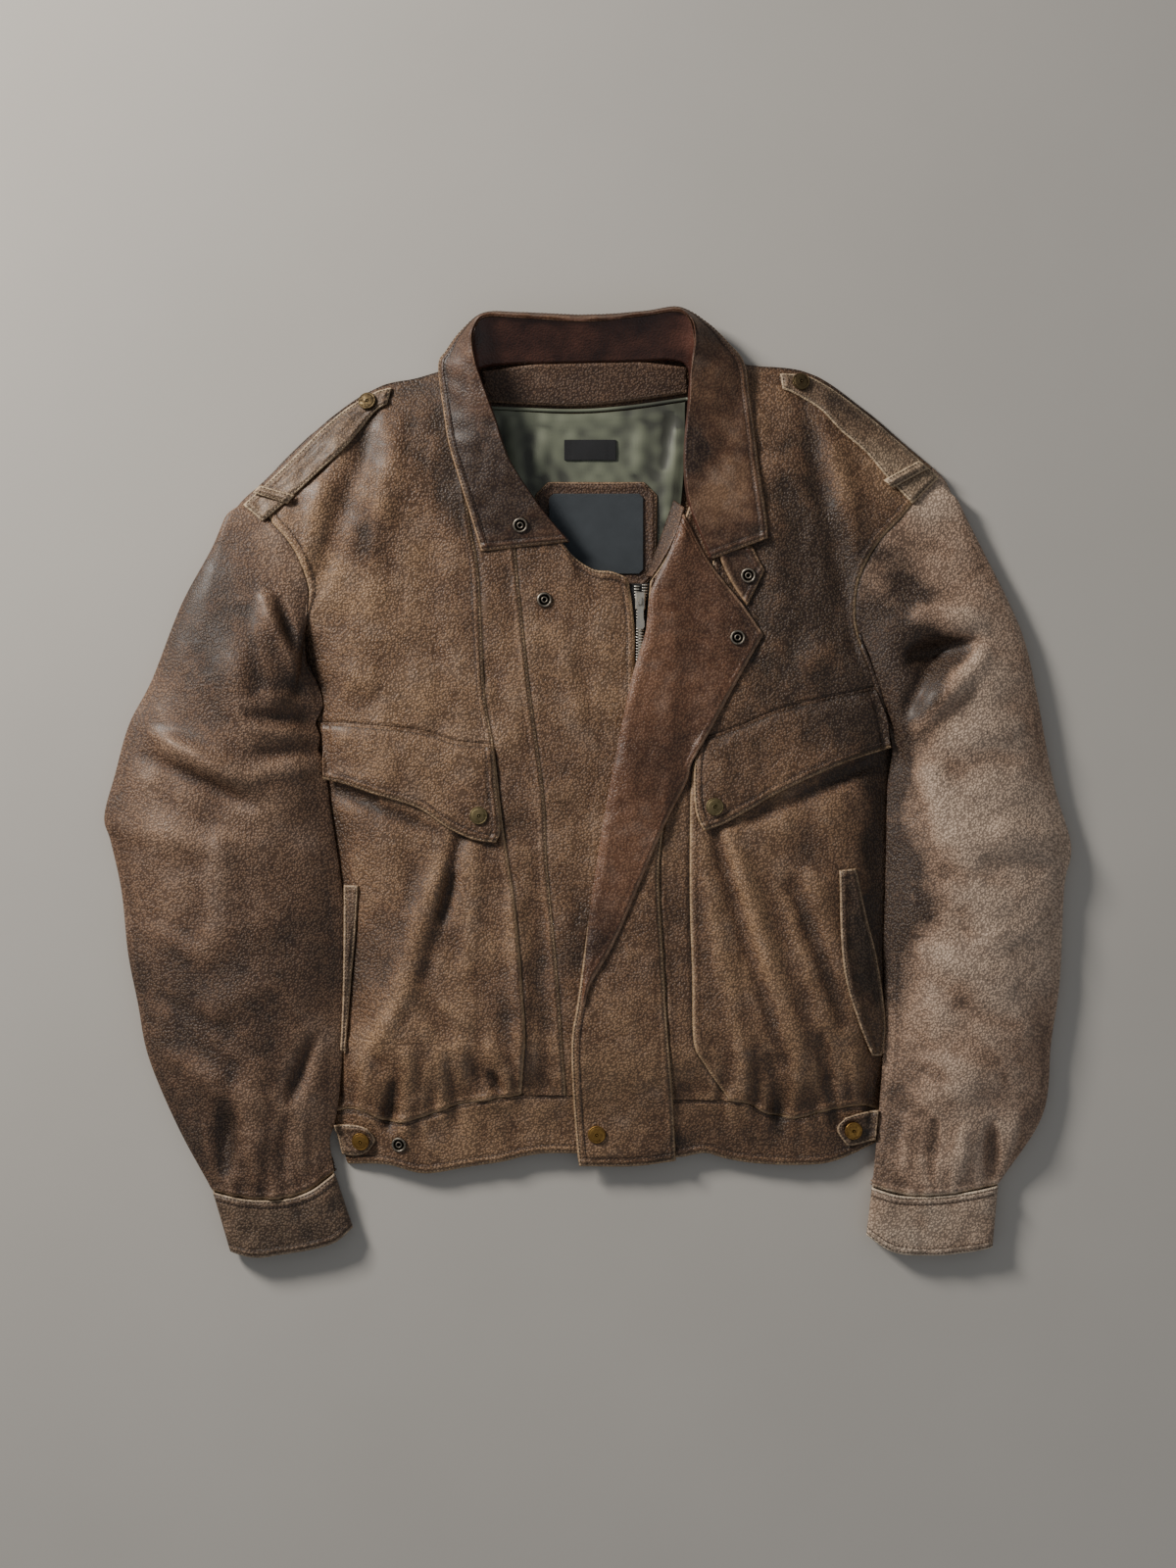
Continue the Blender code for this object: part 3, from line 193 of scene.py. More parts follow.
SHOULDER = {
    "right": [(-114, 389), (-156, 376), (-198, 365), (-248, 330), (-306, 274)],
    "left": [(118, 393), (152, 387), (204, 380), (249, 351), (292, 315), (318, 293)],
}
ARMHOLE_UPPER = {
    "right": [(-306, 274), (-293, 244), (-277, 225), (-266, 207), (-258, 185), (-258, 169), (-266, 146),
              (-276, 130)],
    "left": [(318, 293), (296, 254), (268, 223), (250, 190), (246, 160), (249, 137), (260, 108), (268, 90)],
}
ARMHOLE_LOWER = {"right": [(-276, 130), (-255, 88), (-253, 57)], "left": [(268, 90), (275, 70), (286, 50)]}
SIDE = {
    "right": [(-253, 57), (-250, 12), (-237, -76), (-228, -144), (-229, -190), (-232, -240), (-237, -303)],
    "left": [(286, 50), (283, 0), (281, -95), (280, -153), (280, -227), (277, -265), (271, -303)],
}
WAIST_SIDE = {"right": [(-237, -303), (-222, -351)], "left": [(271, -303), (267, -331)]}
YOKE_SEAM = {
    "right": [(-86, 36), (-123, 40), (-151, 49), (-187, 53), (-224, 56), (-253, 57)],
    "left": [(99, 40), (138, 53), (171, 67), (204, 76), (237, 83), (268, 90)],
}
STRIP_EDGE_UPPER = {
    "right": [(-114, 389), (-115, 330), (-113, 285), (-108, 242), (-100, 196), (-97, 139), (-94, 81),
              (-86, 36)],
    "left": [(118, 393), (122, 330), (122, 285), (121, 242), (113, 196), (110, 139), (107, 81), (99, 40)],
}
STRIP_EDGE_LOWER = {
    "right": [(-86, 36), (-78, -35), (-73, -66), (-66, -112), (-61, -167), (-57, -224), (-58, -250),
              (-61, -286)],
    "left": [(99, 40), (94, -1), (93, -45), (93, -110), (95, -175), (96, -234), (105, -255), (130, -291)],
}
NECK_LINE = {
    "right": [(-108, 386), (-104, 374), (-90, 336), (-73, 290)],
    "left": [(99, 388), (97, 364), (95, 300), (96, 268), (86, 236)],
}
PLACKET_SEAM = {
    "right": [(-73, 290), (-66, 214), (-62, 173), (-52, 81), (-40, -10), (-37, -72), (-27, -180), (-20, -286)],
    "left": [(86, 236), (80, 180), (78, 120), (74, 40), (68, -30), (64, -84), (68, -162), (71, -216),
             (77, -290)],
}
PLACKET_NECK = {
    "right": [(-73, 290), (-45, 247), (-24, 222), (-12, 208), (5, 197), (22, 195), (37, 189)],
    "left": [(86, 236), (70, 205), (57, 186)],
}
ZIP_EDGE = {
    "right": [(37, 189), (40, 169), (43, 139), (43, 104), (43, 0), (43, -288)],
    "left": [(57, 186), (54, 150), (52, 104), (52, 0), (52, -288)],
}
WAIST_SEAM = {
    "right": [(-237, -303), (-213, -301), (-181, -312), (-153, -307), (-121, -296), (-94, -291), (-61, -286)],
    "left": [(271, -303), (252, -297), (221, -301), (193, -308), (166, -304), (147, -294), (130, -291)],
}
HEM = {
    "right": [(-222, -351), (-185, -351), (-151, -359), (-111, -353), (-79, -348), (-53, -342), (-22, -340),
              (43, -344)],
    "left": [(267, -331), (229, -347), (200, -351), (160, -350), (130, -346), (108, -340), (83, -344),
             (52, -344)],
}
print("points on the right side seam", len(SIDE["right"]))

# %% Sleeves and cuffs, from the shoulder to the cuff's end
SLEEVE_OUTER = {
    "right": [(-306, 274), (-330, 254), (-347, 217), (-375, 165), (-402, 96), (-423, 55), (-436, 9),
              (-446, -30), (-440, -53), (-430, -99), (-424, -156), (-415, -202), (-405, -252), (-378, -316),
              (-346, -375)],
    "left": [(318, 293), (333, 279), (344, 255), (365, 213), (389, 165), (403, 130), (414, 81), (423, 31),
             (432, -10), (444, -49), (445, -68), (439, -95), (435, -180), (427, -237), (419, -305),
             (378, -369)],
}
SLEEVE_INNER = {
    "right": [(-276, 130), (-261, 84), (-258, 52), (-250, 12), (-236, -76), (-227, -144), (-228, -190),
              (-231, -240), (-236, -307), (-240, -328), (-234, -358)],
    "left": [(286, 50), (283, 0), (280, -95), (278, -153), (278, -227), (274, -289), (267, -340), (262, -371)],
}
CUFF_TOP = {
    "right": [(-346, -375), (-313, -381), (-282, -381), (-257, -374), (-234, -358)],
    "left": [(378, -369), (332, -377), (291, -378), (262, -371)],
}
CUFF_END = {
    "right": [(-330, -431), (-306, -436), (-282, -433), (-257, -429), (-233, -422), (-217, -409)],
    "left": [(373, -427), (343, -432), (314, -434), (281, -431), (257, -416)],
}
print("sleeve stations", {side: len(line) for side, line in SLEEVE_OUTER.items()})

# %% [markdown]
# ## Curves and panels
# A smooth curve through a few points gives a seam. A Coons patch then fills four seams with a grid: it adds the
# two ways of ruling straight lines between opposite seams and takes away the one through the corners. Blender's
# own curves could do this too, but arrays keep every panel on exactly the same seam.

# %% Curve and grid helpers
CURVE_STEPS = 12
NEAR_EDGE = (0, 0.6, 1.2, 1.9, 2.6, 3.2, 3.9, 5.0, 6.3, 7.3, 8.0, 8.7, 10, 12.5, 16)
STEP = 4.2


def cubic(a, b, c, d, t):
    """A cubic from b to c at shares t, its slope at each half the step between its two neighbours."""
    return 0.5 * (2 * b + (c - a) * t + (2 * a - 5 * b + 4 * c - d) * t**2 + (3 * b - a - 3 * c + d) * t**3)


def outline(*curves):
    """A dense line through lists of points, with a cubic between each pair."""
    dense = []
    t = np.linspace(0, 1, CURVE_STEPS, endpoint=False)[:, None]
    for points in curves:
        given = np.asarray(points, float)
        ends = np.vstack([2 * given[0] - given[1], given, 2 * given[-1] - given[-2]])
        dense += [cubic(*four, t) for four in zip(ends, ends[1:], ends[2:], ends[3:])]
    return np.vstack([*dense, given[-1:]])


def unit(vectors):
    """Vectors made one long."""
    return vectors / np.maximum(np.linalg.norm(vectors, axis=-1, keepdims=True), 1e-9)


def run_of(line):
    """The length of a line up to each of its points."""
    return np.r_[0, np.cumsum(np.linalg.norm(np.diff(line, axis=0), axis=1))]


def along(line, shares):
    """The points at shares of a line's length."""
    run = run_of(line)
    wanted = np.asarray(shares) * run[-1]
    return np.column_stack([np.interp(wanted, run, line[:, k]) for k in range(line.shape[1])])


def spacing(length, step=STEP):
    """Shares of a length that lie close together near its ends, and a step apart between them."""
    near = np.array([d for d in NEAR_EDGE if d < 0.45 * length])
    last = length - near[-1]
    middle = np.linspace(near[-1], last, max(2, round((last - near[-1]) / step)) + 1)
    return np.concatenate([near[:-1], middle, (length - near[:-1])[::-1]]) / length


def patch(top, bottom, left, right, u, v):
    """A Coons patch: the two rulings between opposite seams, less the one through the four corners."""
    top, bottom, left, right = along(top, u), along(bottom, u), along(left, v), along(right, v)
    u, v = u[None, :, None], v[:, None, None]
    across = (1 - v) * top[None] + v * bottom[None]
    down = (1 - u) * left[:, None] + u * right[:, None]
    corners = (1 - v) * ((1 - u) * top[0] + u * top[-1]) + v * ((1 - u) * bottom[0] + u * bottom[-1])
    return across + down - corners


def four_sided(shape, step=STEP):
    """A patch over a piece's edges. A missing edge runs straight between its neighbours' ends."""
    pairs = {"top": ("left", "right", 0), "bottom": ("left", "right", -1),
             "left": ("top", "bottom", 0), "right": ("top", "bottom", -1)}
    edges = [shape[name] if name in shape else [shape[first][end], shape[second][end]]
             for name, (first, second, end) in pairs.items()]
    top, bottom, left, right = (e if isinstance(e, np.ndarray) else outline(e) for e in edges)
    wide = max(run_of(top)[-1], run_of(bottom)[-1])
    tall = max(run_of(left)[-1], run_of(right)[-1])
    return patch(top, bottom, left, right, spacing(wide, step), spacing(tall, step))


def soft_step(share):
    """A step from 0 to 1 with soft ends: three squares less two cubes."""
    share = np.clip(share, 0, 1)
    return share * share * (3 - 2 * share)


def bell(distance, half):
    """A soft bump of height 1 that has mostly gone at about half millimetres away."""
    return np.exp(-((distance / half) ** 2))


print("steps near a seam", len(NEAR_EDGE))

# %% [markdown]
# ## The lie of the leather
# The front lies over the back like a shallow dome that falls to the shoulders and sides and bulges over the
# waistband. A cloth simulation could find such a shape, but not this one's own creases. So each fold is placed
# one by one as a soft ridge or trough, and a height function gives every panel the same lie.

# %% Heights and folds
CROWN = [(-360, 12), (-303, 15), (-245, 33), (-120, 27), (60, 25), (250, 22), (390, 17)]
EDGE_TOP = 3.9
EDGE_ROLL = 70
EDGE_POWER = 2.2
BODY_FOLDS = [
    ((-117, -50), (-144, -180), 11, 4.0), ((125, -40), (182, -249), 11, 4.5),
    ((182, -99), (226, -219), 12, 3.5), ((-200, -180), (-170, -285), 14, 3.0),
    ((-184, -294), (-176, -320), 9, -3.0), ((-77, -277), (-96, -300), 9, 3.0),
    ((226, -270), (222, -305), 9, 3.0), ((-250, 110), (-190, 90), 16, 3.5),
    ((240, 130), (190, 110), 16, 3.5), ((-160, 300), (-225, 215), 18, 2.5), ((185, 310), (225, 220), 18, 2.5),
]
SLEEVE_FOLDS = {
    "right": [
        ((-392, 39), (-296, -2), 17, 6), ((-400, 0), (-300, -45), 15, -5), ((-420, -40), (-330, -60), 14, 4),
        ((-295, 158), (-330, 60), 18, 5), ((-250, -239), (-275, -290), 14, -4),
        ((-333, -39), (-345, -150), 14, 3), ((-328, -300), (-334, -360), 11, -5),
        ((-370, -260), (-290, -300), 15, 4), ((-280, -180), (-370, -215), 16, 3),
    ],
    "left": [
        ((352, 124), (290, 112), 13, -9), ((368, 143), (296, 160), 17, 5), ((345, 96), (296, 78), 15, 5),
        ((430, -60), (330, -40), 17, 5), ((425, -90), (320, -80), 14, -4),
        ((370, -315), (373, -365), 11, -5), ((300, -150), (390, -190), 16, 4),
        ((290, -290), (380, -270), 15, 4), ((400, 60), (330, 30), 16, 4),
    ],
}
CREASES = [
    ((-98, 150), (-78, 60), 9, -1.6), ((-70, 120), (-62, 20), 8, 1.2), ((-70, -90), (-60, -285), 9, 4.4),
    ((-48, -60), (-38, -290), 9, -2.4), ((-30, 150), (-5, 60), 10, 1.4), ((-10, 120), (15, 30), 9, -1.2),
    ((-22, 219), (-14, 190), 6, 1.8), ((-14, 207), (12, 170), 7, -1.2), ((-112, -20), (-134, -130), 6, -7.0),
    ((-122, -80), (-150, -185), 9, -5.5), ((-132, -60), (-182, -222), 13, 5.6),
    ((-102, -50), (-112, -180), 10, 4.0), ((-158, -185), (-218, -268), 9, 3.6),
    ((-137, -198), (-101, -227), 6, 2.0), ((-150, -200), (-120, -240), 8, -2.2),
    ((-275, 6), (-190, -16), 9, -5.5), ((-235, -6), (-125, -48), 7, -3.4),
    ((-246, -10), (-226, -150), 12, -3.4), ((310, 36), (210, 2), 9, -5.5), ((260, 16), (140, -38), 7, -3.4),
    ((282, 10), (262, -120), 12, -3.4), ((-196, 350), (-254, 160), 11, -4.0),
    ((-222, 340), (-266, 190), 11, 3.4), ((-172, 345), (-200, 200), 13, 2.8),
    ((192, 372), (248, 120), 12, -4.0), ((214, 360), (262, 150), 13, 3.4), ((160, 360), (170, 180), 16, 2.4),
    ((-186, -322), (-178, -270), 6, -6.5), ((-169, -325), (-164, -240), 9, 4.6),
    ((-202, -322), (-206, -250), 9, 3.6), ((-74, -294), (-92, -262), 5, -5.5),
    ((-66, -292), (-92, -232), 7, 3.4), ((-92, -302), (-110, -240), 6, -3.6),
    ((-150, -325), (-146, -250), 7, 2.6), ((-120, -318), (-126, -245), 6, -2.8),
    ((-134, -320), (-136, -240), 7, 2.4), ((228, -318), (212, -225), 7, -5.5),
    ((150, -315), (140, -235), 8, 4.0), ((178, -325), (166, -245), 7, -4.6),
    ((203, -325), (190, -245), 9, 4.0), ((254, -318), (242, -240), 7, 3.4),
    ((112, -30), (182, -260), 7, -6.0), ((130, -40), (200, -260), 10, 5.4),
    ((100, -40), (142, -250), 10, 3.6), ((184, -85), (236, -225), 8, -5.4),
    ((200, -75), (250, -210), 10, 4.2), ((-190, 230), (-205, 90), 16, 1.6),
    ((-150, 250), (-140, 110), 16, -1.4), ((170, 260), (186, 110), 16, 1.6),
    ((140, 240), (150, 120), 14, -1.3), ((-150, 20), (-145, -20), 7, -1.4),
    ((-128, 24), (-118, -22), 5, -1.6), ((-112, 20), (-106, -20), 5, 1.4), ((-185, 30), (-175, -5), 8, 1.2),
    ((118, 30), (124, -20), 5, 1.5), ((130, 34), (140, -10), 5, -1.5), ((160, 50), (166, 10), 7, 1.2),
    ((200, 62), (208, 22), 7, -1.2),
]
SLEEVE_CREASES = {
    "right": [
        ((-406, 50), (-310, 0), 9, 6.5), ((-412, 30), (-300, -22), 8, -6.5),
        ((-415, 8), (-320, -38), 9, 3.0), ((-300, 178), (-252, 76), 8, 7.0),
        ((-284, 172), (-268, 122), 6, -6.5), ((-312, 165), (-300, 80), 11, -3.8),
        ((-236, 70), (-300, 82), 6, 5.0), ((-246, 57), (-316, 64), 5, -6.0),
        ((-240, 43), (-305, 48), 6, 4.6), ((-248, 31), (-310, 27), 5, -5.4), ((-238, 18), (-312, 8), 8, 4.4),
        ((-250, -228), (-276, -298), 6, -7.0), ((-246, -240), (-256, -290), 8, 3.0),
        ((-325, -250), (-338, -340), 12, -4.0), ((-300, -250), (-312, -350), 12, 3.2),
        ((-330, -304), (-334, -362), 5, -4.0), ((-300, -310), (-306, -366), 6, 3.0),
        ((-276, -300), (-284, -366), 5, -3.0), ((-352, -310), (-342, -366), 5, 2.6),
        ((-262, -300), (-262, -362), 5, 2.4), ((-331, -39), (-337, -92), 5, 2.4),
        ((-410, -130), (-340, -160), 10, 2.4), ((-400, -190), (-320, -230), 10, -2.6),
        ((-390, -245), (-330, -270), 9, 2.4),
    ],
    "left": [
        ((364, 134), (292, 118), 8, -10.0), ((325, 128), (288, 60), 8, -8.0),
        ((360, 152), (292, 150), 10, 5.0), ((368, 122), (296, 48), 10, 7.0),
        ((370, -305), (373, -365), 6, -4.2), ((345, -310), (340, -366), 6, 3.0),
        ((318, -305), (314, -366), 6, -3.4), ((292, -300), (288, -364), 6, 2.8),
        ((395, -300), (384, -360), 6, 2.6), ((436, -50), (370, -38), 9, 3.6),
        ((432, -78), (360, -68), 8, -3.8), ((410, -130), (350, -150), 10, 2.4),
        ((290, -60), (300, -140), 10, 2.2), ((330, -200), (400, -225), 10, -2.6),
        ((300, -250), (370, -262), 9, 2.4), ((330, 40), (400, 20), 12, -3.0),
        ((310, 20), (330, -60), 12, 3.0),
    ],
}
FOLD_END = 0.45
LOW_LINES = [SHOULDER["right"], SHOULDER["left"], SIDE["left"] + WAIST_SIDE["left"][1:],
             ARMHOLE_LOWER["right"] + SIDE["right"][1:] + WAIST_SIDE["right"][1:]]
CROWN_STEPS = (-24, -12, 0, 12, 24)
CROWN_OWN = 0.3
SLACK_ROLL = 30


def distance_to(points, line):
    """How far points lie from a line of straight pieces, in the plan."""
    line = np.asarray(line, float)
    best = np.full(points.shape[:-1], np.inf)
    for a, b in zip(line, line[1:]):
        share = np.clip(((points - a) @ (b - a)) / ((b - a) @ (b - a)), 0, 1)
        best = np.minimum(best, np.linalg.norm(points - (a + share[..., None] * (b - a)), axis=-1))
    return best


def fold_relief(plan, folds):
    """The height that ridges and troughs add: each is a bell across it that narrows and fades to its ends."""
    total = np.zeros(plan.shape[:-1])
    for start, end, half, height in folds:
        start, way = np.array(start, float), np.subtract(end, start)
        share = np.clip(((plan - start) @ way) / (way @ way), 0, 1)
        strength = np.sqrt(4 * share * (1 - share))
        away = np.linalg.norm(plan - (start + share[..., None] * way), axis=-1)
        total += height * strength * bell(away, half * (FOLD_END + (1 - FOLD_END) * strength))
    return total


def unevenness(plan, size, seed, count=28):
    """Soft unevenness of about 1: many plane waves about size millimetres long, from a seed."""
    random = np.random.default_rng(seed)
    turn, start = random.uniform(0, 2 * np.pi, (2, count))
    wave = 2 * np.pi / (size * random.uniform(0.7, 1.7, count))
    return np.sin(plan @ (np.stack([np.cos(turn), np.sin(turn)]) * wave) + start).sum(axis=-1) / np.sqrt(count)


def near_low(plan, reach):
    """How far a plan is from the low lines, as a share of a reach, up to 1."""
    return np.clip(np.min([distance_to(plan, line) for line in LOW_LINES], axis=0) / reach, 0, 1)


def front_height(plan):
    """How high the front's outer face lies: low at the shoulders and sides, crowned between, with its folds."""
    plan = np.asarray(plan, float)
    rise = 1 - (1 - near_low(plan, EDGE_ROLL)) ** EDGE_POWER
    ys, zs = np.array(CROWN, float).T
    crown = np.interp(plan[..., 1], ys, zs)
    soft = np.mean([np.interp(plan[..., 1] + step, ys, zs) for step in CROWN_STEPS], axis=0)
    top = EDGE_TOP + (CROWN_OWN * crown + (1 - CROWN_OWN) * soft - EDGE_TOP) * rise
    return top + fold_relief(plan, BODY_FOLDS) * rise


def worn_front(plan):
    """The front's height with its smaller creases and the slackness of old leather."""
    slack = 0.8 * unevenness(plan, 42, 3) + 0.2 * unevenness(plan, 13, 4)
    return front_height(plan) + near_low(plan, SLACK_ROLL) * (fold_relief(plan, CREASES) + slack)


print("folds", len(BODY_FOLDS), "creases", len(CREASES))

# %% [markdown]
# ## Sewn borders
# Each border of a panel is turned under and topstitched, or runs under its neighbour, or is a plain cut. A
# turned edge is a soft bead with a rolled rim that wears pale. Thread rows press grooves beside it, which are
# drawn darker. A border that runs under its neighbour gets a painted shadow. Distances are measured along the
# grid itself.

# %% Borders
BEAD_HEIGHT, BEAD_PLACE, BEAD_HALF = 0.9, 4.6, 2.4
ROLL_DROP, ROLL_REACH, WIDE_ROLL = 1.3, 1.6, 4
WEAR_PLACE, WEAR_HALF = 0.9, 1.6
LAP_DROP = 0.9
ROW_DROP, ROW_HALF = 0.4, 0.9
PUCKER, PUCKER_SIZE, PUCKER_SEED = 0.22, 9, 17
DOUBLE_ROW = (2.6, 8.0)
SINGLE_ROW = (2.6,)
WIDE_ROW = (8.0,)


def border_distances(points):
    """How far each point lies from the four borders, summed along the grid's rows and columns."""
    down = np.cumsum(np.linalg.norm(np.diff(points, axis=0, prepend=points[:1]), axis=-1), axis=0)
    across = np.cumsum(np.linalg.norm(np.diff(points, axis=1, prepend=points[:, :1]), axis=-1), axis=1)
    return {"top": down, "bottom": down[-1:] - down, "left": across, "right": across[:, -1:] - across}


def border_form(points, borders):
    """Height, wear, and painted shadow and darkening from sewn borders: a bell for a bead, a step for a rim,
    small bells for rows.
    """
    away = border_distances(points)
    height, wear, seam_shadow_and_darkening = (np.zeros(points.shape[:2]) for _ in range(3))
    for side, (kind, rows) in borders.items():
        distance = away[side]
        if kind == "turned":
            height += BEAD_HEIGHT * bell(distance - BEAD_PLACE, BEAD_HALF)
            height -= ROLL_DROP * (1 - soft_step(distance / ROLL_REACH))
            wear = np.maximum(wear, bell(distance - WEAR_PLACE, WEAR_HALF))
        elif kind == "rolled":
            height -= ROLL_DROP * (1 - soft_step(distance / WIDE_ROLL))
        elif kind == "lapped":
            height -= LAP_DROP * bell(distance, 2.4)
            # A painted shadow on this panel beside its neighbour's lapping edge.
            seam_shadow_and_darkening = np.maximum(seam_shadow_and_darkening, bell(distance, 1.8))
        for row in rows:
            height -= ROW_DROP * bell(distance - row, ROW_HALF)
            # The stitch rows are drawn darker.
            seam_shadow_and_darkening = np.maximum(seam_shadow_and_darkening, 0.8 * bell(distance - row, 0.75))
        if rows:
            pucker = PUCKER * unevenness(points[..., :2], PUCKER_SIZE, PUCKER_SEED)
            height += pucker * np.exp(-distance / PUCKER_SIZE)
    return height, wear, seam_shadow_and_darkening


print("thread rows at", DOUBLE_ROW, "mm from an edge")

# %% [markdown]
# ## From grid to piece
# A piece is a grid of points, turned into a mesh at once and given a wall by a Solidify modifier. It carries
# numbers at its points that the materials read: wear, a painted shadow and darker stitch rows along seams,
# painted shade and light from folds, painted shade and light with dirt from the broad rise, stains mixed with
# painted shading, and how far inside the collar it is.
# It rides on a body of the imported model, stands for its solid and keeps the size of its cut sheet.

# %% Ground map
CELL = 2.0
MAP_HALF = 500.0
ground = np.zeros((int(2 * MAP_HALF / CELL) + 1,) * 2)


def refined(grid, times):
    """A grid with more rows, straight between the old ones."""
    at = np.linspace(0, len(grid) - 1, (len(grid) - 1) * times + 1)
    low = np.minimum(at.astype(int), len(grid) - 2)
    share = (at - low).reshape(-1, *[1] * (grid.ndim - 1))
    return grid[low] * (1 - share) + grid[low + 1] * share


def lay_in_ground(points):
    """Raise the ground map to a piece's outer face, so that later pieces can lie on it."""
    fine = refined(refined(points, 3).swapaxes(0, 1), 3).reshape(-1, 3)
    column, row = ((fine[:, :2] + MAP_HALF) / CELL).round().astype(int).T
    np.maximum.at(ground, (row, column), fine[:, 2])


def ground_under(plan):
    """The ground map under a plan: the highest of the cells around each place, read between cells."""
    wide = ground.copy()
    for axis in (0, 1):
        wide = np.maximum(wide, np.maximum(np.roll(wide, 1, axis), np.roll(wide, -1, axis)))
    at = np.clip((plan + MAP_HALF) / CELL, 0, len(ground) - 2)
    low = at.astype(int)
    x, y = np.moveaxis(at - low, -1, 0)
    column, row = np.moveaxis(low, -1, 0)
    upper = wide[row, column] * (1 - x) + wide[row, column + 1] * x
    lower = wide[row + 1, column] * (1 - x) + wide[row + 1, column + 1] * x
    found = upper * (1 - y) + lower * y
    return np.where(found < EDGE_TOP, np.maximum(found, front_height(plan)), found)


def blurred(height, rounds):
    """Each height's mean with its four neighbours on the grid, taken again and again."""
    for _ in range(rounds):
        wide = np.pad(height, 1, mode="edge")
        height = (wide[1:-1, 1:-1] + wide[:-2, 1:-1] + wide[2:, 1:-1] + wide[1:-1, :-2] + wide[1:-1, 2:]) / 5
    return height


def kept_over(height, least, rounds):
    """Heights smoothed, then lifted where they would sink under the least, by turns."""
    for _ in range(rounds):
        height = np.maximum(blurred(height, 1), least)
    return height


print("ground map", ground.shape)
# %% Marks on the leather
# The fold and rise marks are how far a height stands over its near and its broad mean. They paint shade into
# creases and hollows and light onto ridges and high places, and the broad one also stands for dirt in hollows.
CURVE_ROUNDS = 6
FOLD_SPAN = 0.7
BROAD_ROUNDS = 60
BROAD_SPAN = 5.0
# Stains of the old hide mixed with painted shading: round patches painted darker where shadow falls, along the
# left sleeve's inner edge, beside the collar and the fly and in the deep folds, darker on the right sleeve's top
# against its highlight, and painted lighter on slopes that face away from the lamp.
STAINS_AND_PAINTED_SHADING = [
    (-150, 350, 60, -0.6), (-200, 200, 80, 0.55), (-130, 120, 50, 0.25), (-225, 120, 40, -0.3),
    (-100, 250, 40, -0.3), (-60, 60, 60, 0.1), (0, 120, 60, 0.25), (-10, -20, 60, 0.25),
    (-30, -200, 60, -0.1), (-160, 10, 70, 0.5), (-100, -20, 30, -0.15), (-220, 30, 30, -0.2),
    (-200, -40, 45, -0.65), (-215, -150, 40, -0.35), (-140, -90, 50, 0.15), (-120, -230, 60, 0.4),
    (-70, -150, 40, -0.2), (-180, -240, 50, 0.15), (-200, -330, 50, -0.1), (-90, -325, 70, 0.6),
    (20, -290, 60, 0.45), (50, -150, 70, -0.1), (80, -340, 50, -0.2), (160, -325, 60, -0.25),
    (250, -320, 50, -0.5), (200, 300, 70, -0.55), (190, 190, 70, -0.45), (230, 140, 60, -0.45),
    (-98, 284, 46, -1.5), (130, 277, 36, 0.7), (230, 260, 40, 0.1), (150, 10, 60, -0.35),
    (240, 50, 50, -0.4), (150, -160, 60, 0.35), (130, -70, 40, 0.1), (235, -130, 45, -0.35),
    (265, -180, 35, -0.7), (210, -250, 50, 0.1), (-320, 240, 50, 0.15), (-340, 180, 60, -0.3),
    (-280, 170, 40, 0.05), (-395, 90, 50, 0.1), (-330, 30, 60, 0.1), (-400, -40, 60, 0.2),
    (-340, -150, 80, 0.05), (-400, -200, 60, -0.35), (-300, -240, 60, -0.3), (-340, -310, 70, -0.3),
    (-250, -200, 40, -0.2), (-280, -405, 70, -0.3), (-330, 130, 65, -0.7), (330, 230, 50, 0.3),
    (370, 160, 50, 0.35), (308, 114, 32, -1.8), (340, 60, 40, 0.2), (400, 80, 60, -0.1),
    (330, -20, 70, 0.15), (430, -60, 40, 0.45), (310, -160, 60, 0.05), (400, -160, 60, 0.2),
    (310, -270, 60, -0.2), (390, -290, 60, 0.25), (310, -400, 80, 0.3), (268, 130, 22, -1.6),
    (264, 70, 24, -1.6), (272, 10, 24, -1.6), (276, -60, 24, -1.6), (278, -130, 26, -1.2),
    (300, 80, 24, -1.4), (304, -95, 36, -0.8), (385, 90, 45, 0.5), (405, -20, 60, 0.7), (400, -120, 60, 0.8),
    (262, 290, 32, 0.9), (312, 268, 32, 0.8), (219, 195, 34, -0.7), (93, 305, 24, -1.0),
    (90, -120, 40, -0.35), (4, -140, 26, -0.6), (-76, -150, 34, 0.8), (-38, -115, 28, 0.5),
    (-162, -70, 45, 0.5), (-203, 222, 26, -0.9), (-290, 112, 24, 0.6), (-240, -230, 36, 0.8),
    (-245, -310, 30, 0.5),
]
print("stains", len(STAINS_AND_PAINTED_SHADING))

# %% Mesh and piece helpers
made = {}

def stain_and_shading_of(plan):
    """Old handling marks and painted shading: a sum of round bells, above nought where leather is pale or painted
    lit, below where dark or painted in shade.
    """
    return sum(amount * bell(np.linalg.norm(plan - (x, y), axis=-1), radius) for x, y, radius, amount in STAINS_AND_PAINTED_SHADING)


def grid_faces(rows, columns, closed):
    """The four-sided faces between the rows and columns of a grid, which may close on itself."""
    index = np.arange(rows * columns).reshape(rows, columns)
    if closed:
        index = np.column_stack([index, index[:, :1]])
    return np.stack([index[:-1, :-1], index[1:, :-1], index[1:, 1:], index[:-1, 1:]], axis=-1).reshape(-1, 4)


def facing_out(flat, faces, closed):
    """Faces turned outwards: away from the middle on a closed form, and upwards on an open one."""
    corners = flat[faces]
    turn = np.cross(corners[:, 2] - corners[:, 0], corners[:, 3] - corners[:, 1])
    outward = (turn * (corners.mean(axis=1) - flat.mean(axis=0))).sum() if closed else turn[:, 2].sum()
    return faces if outward > 0 else faces[:, ::-1]


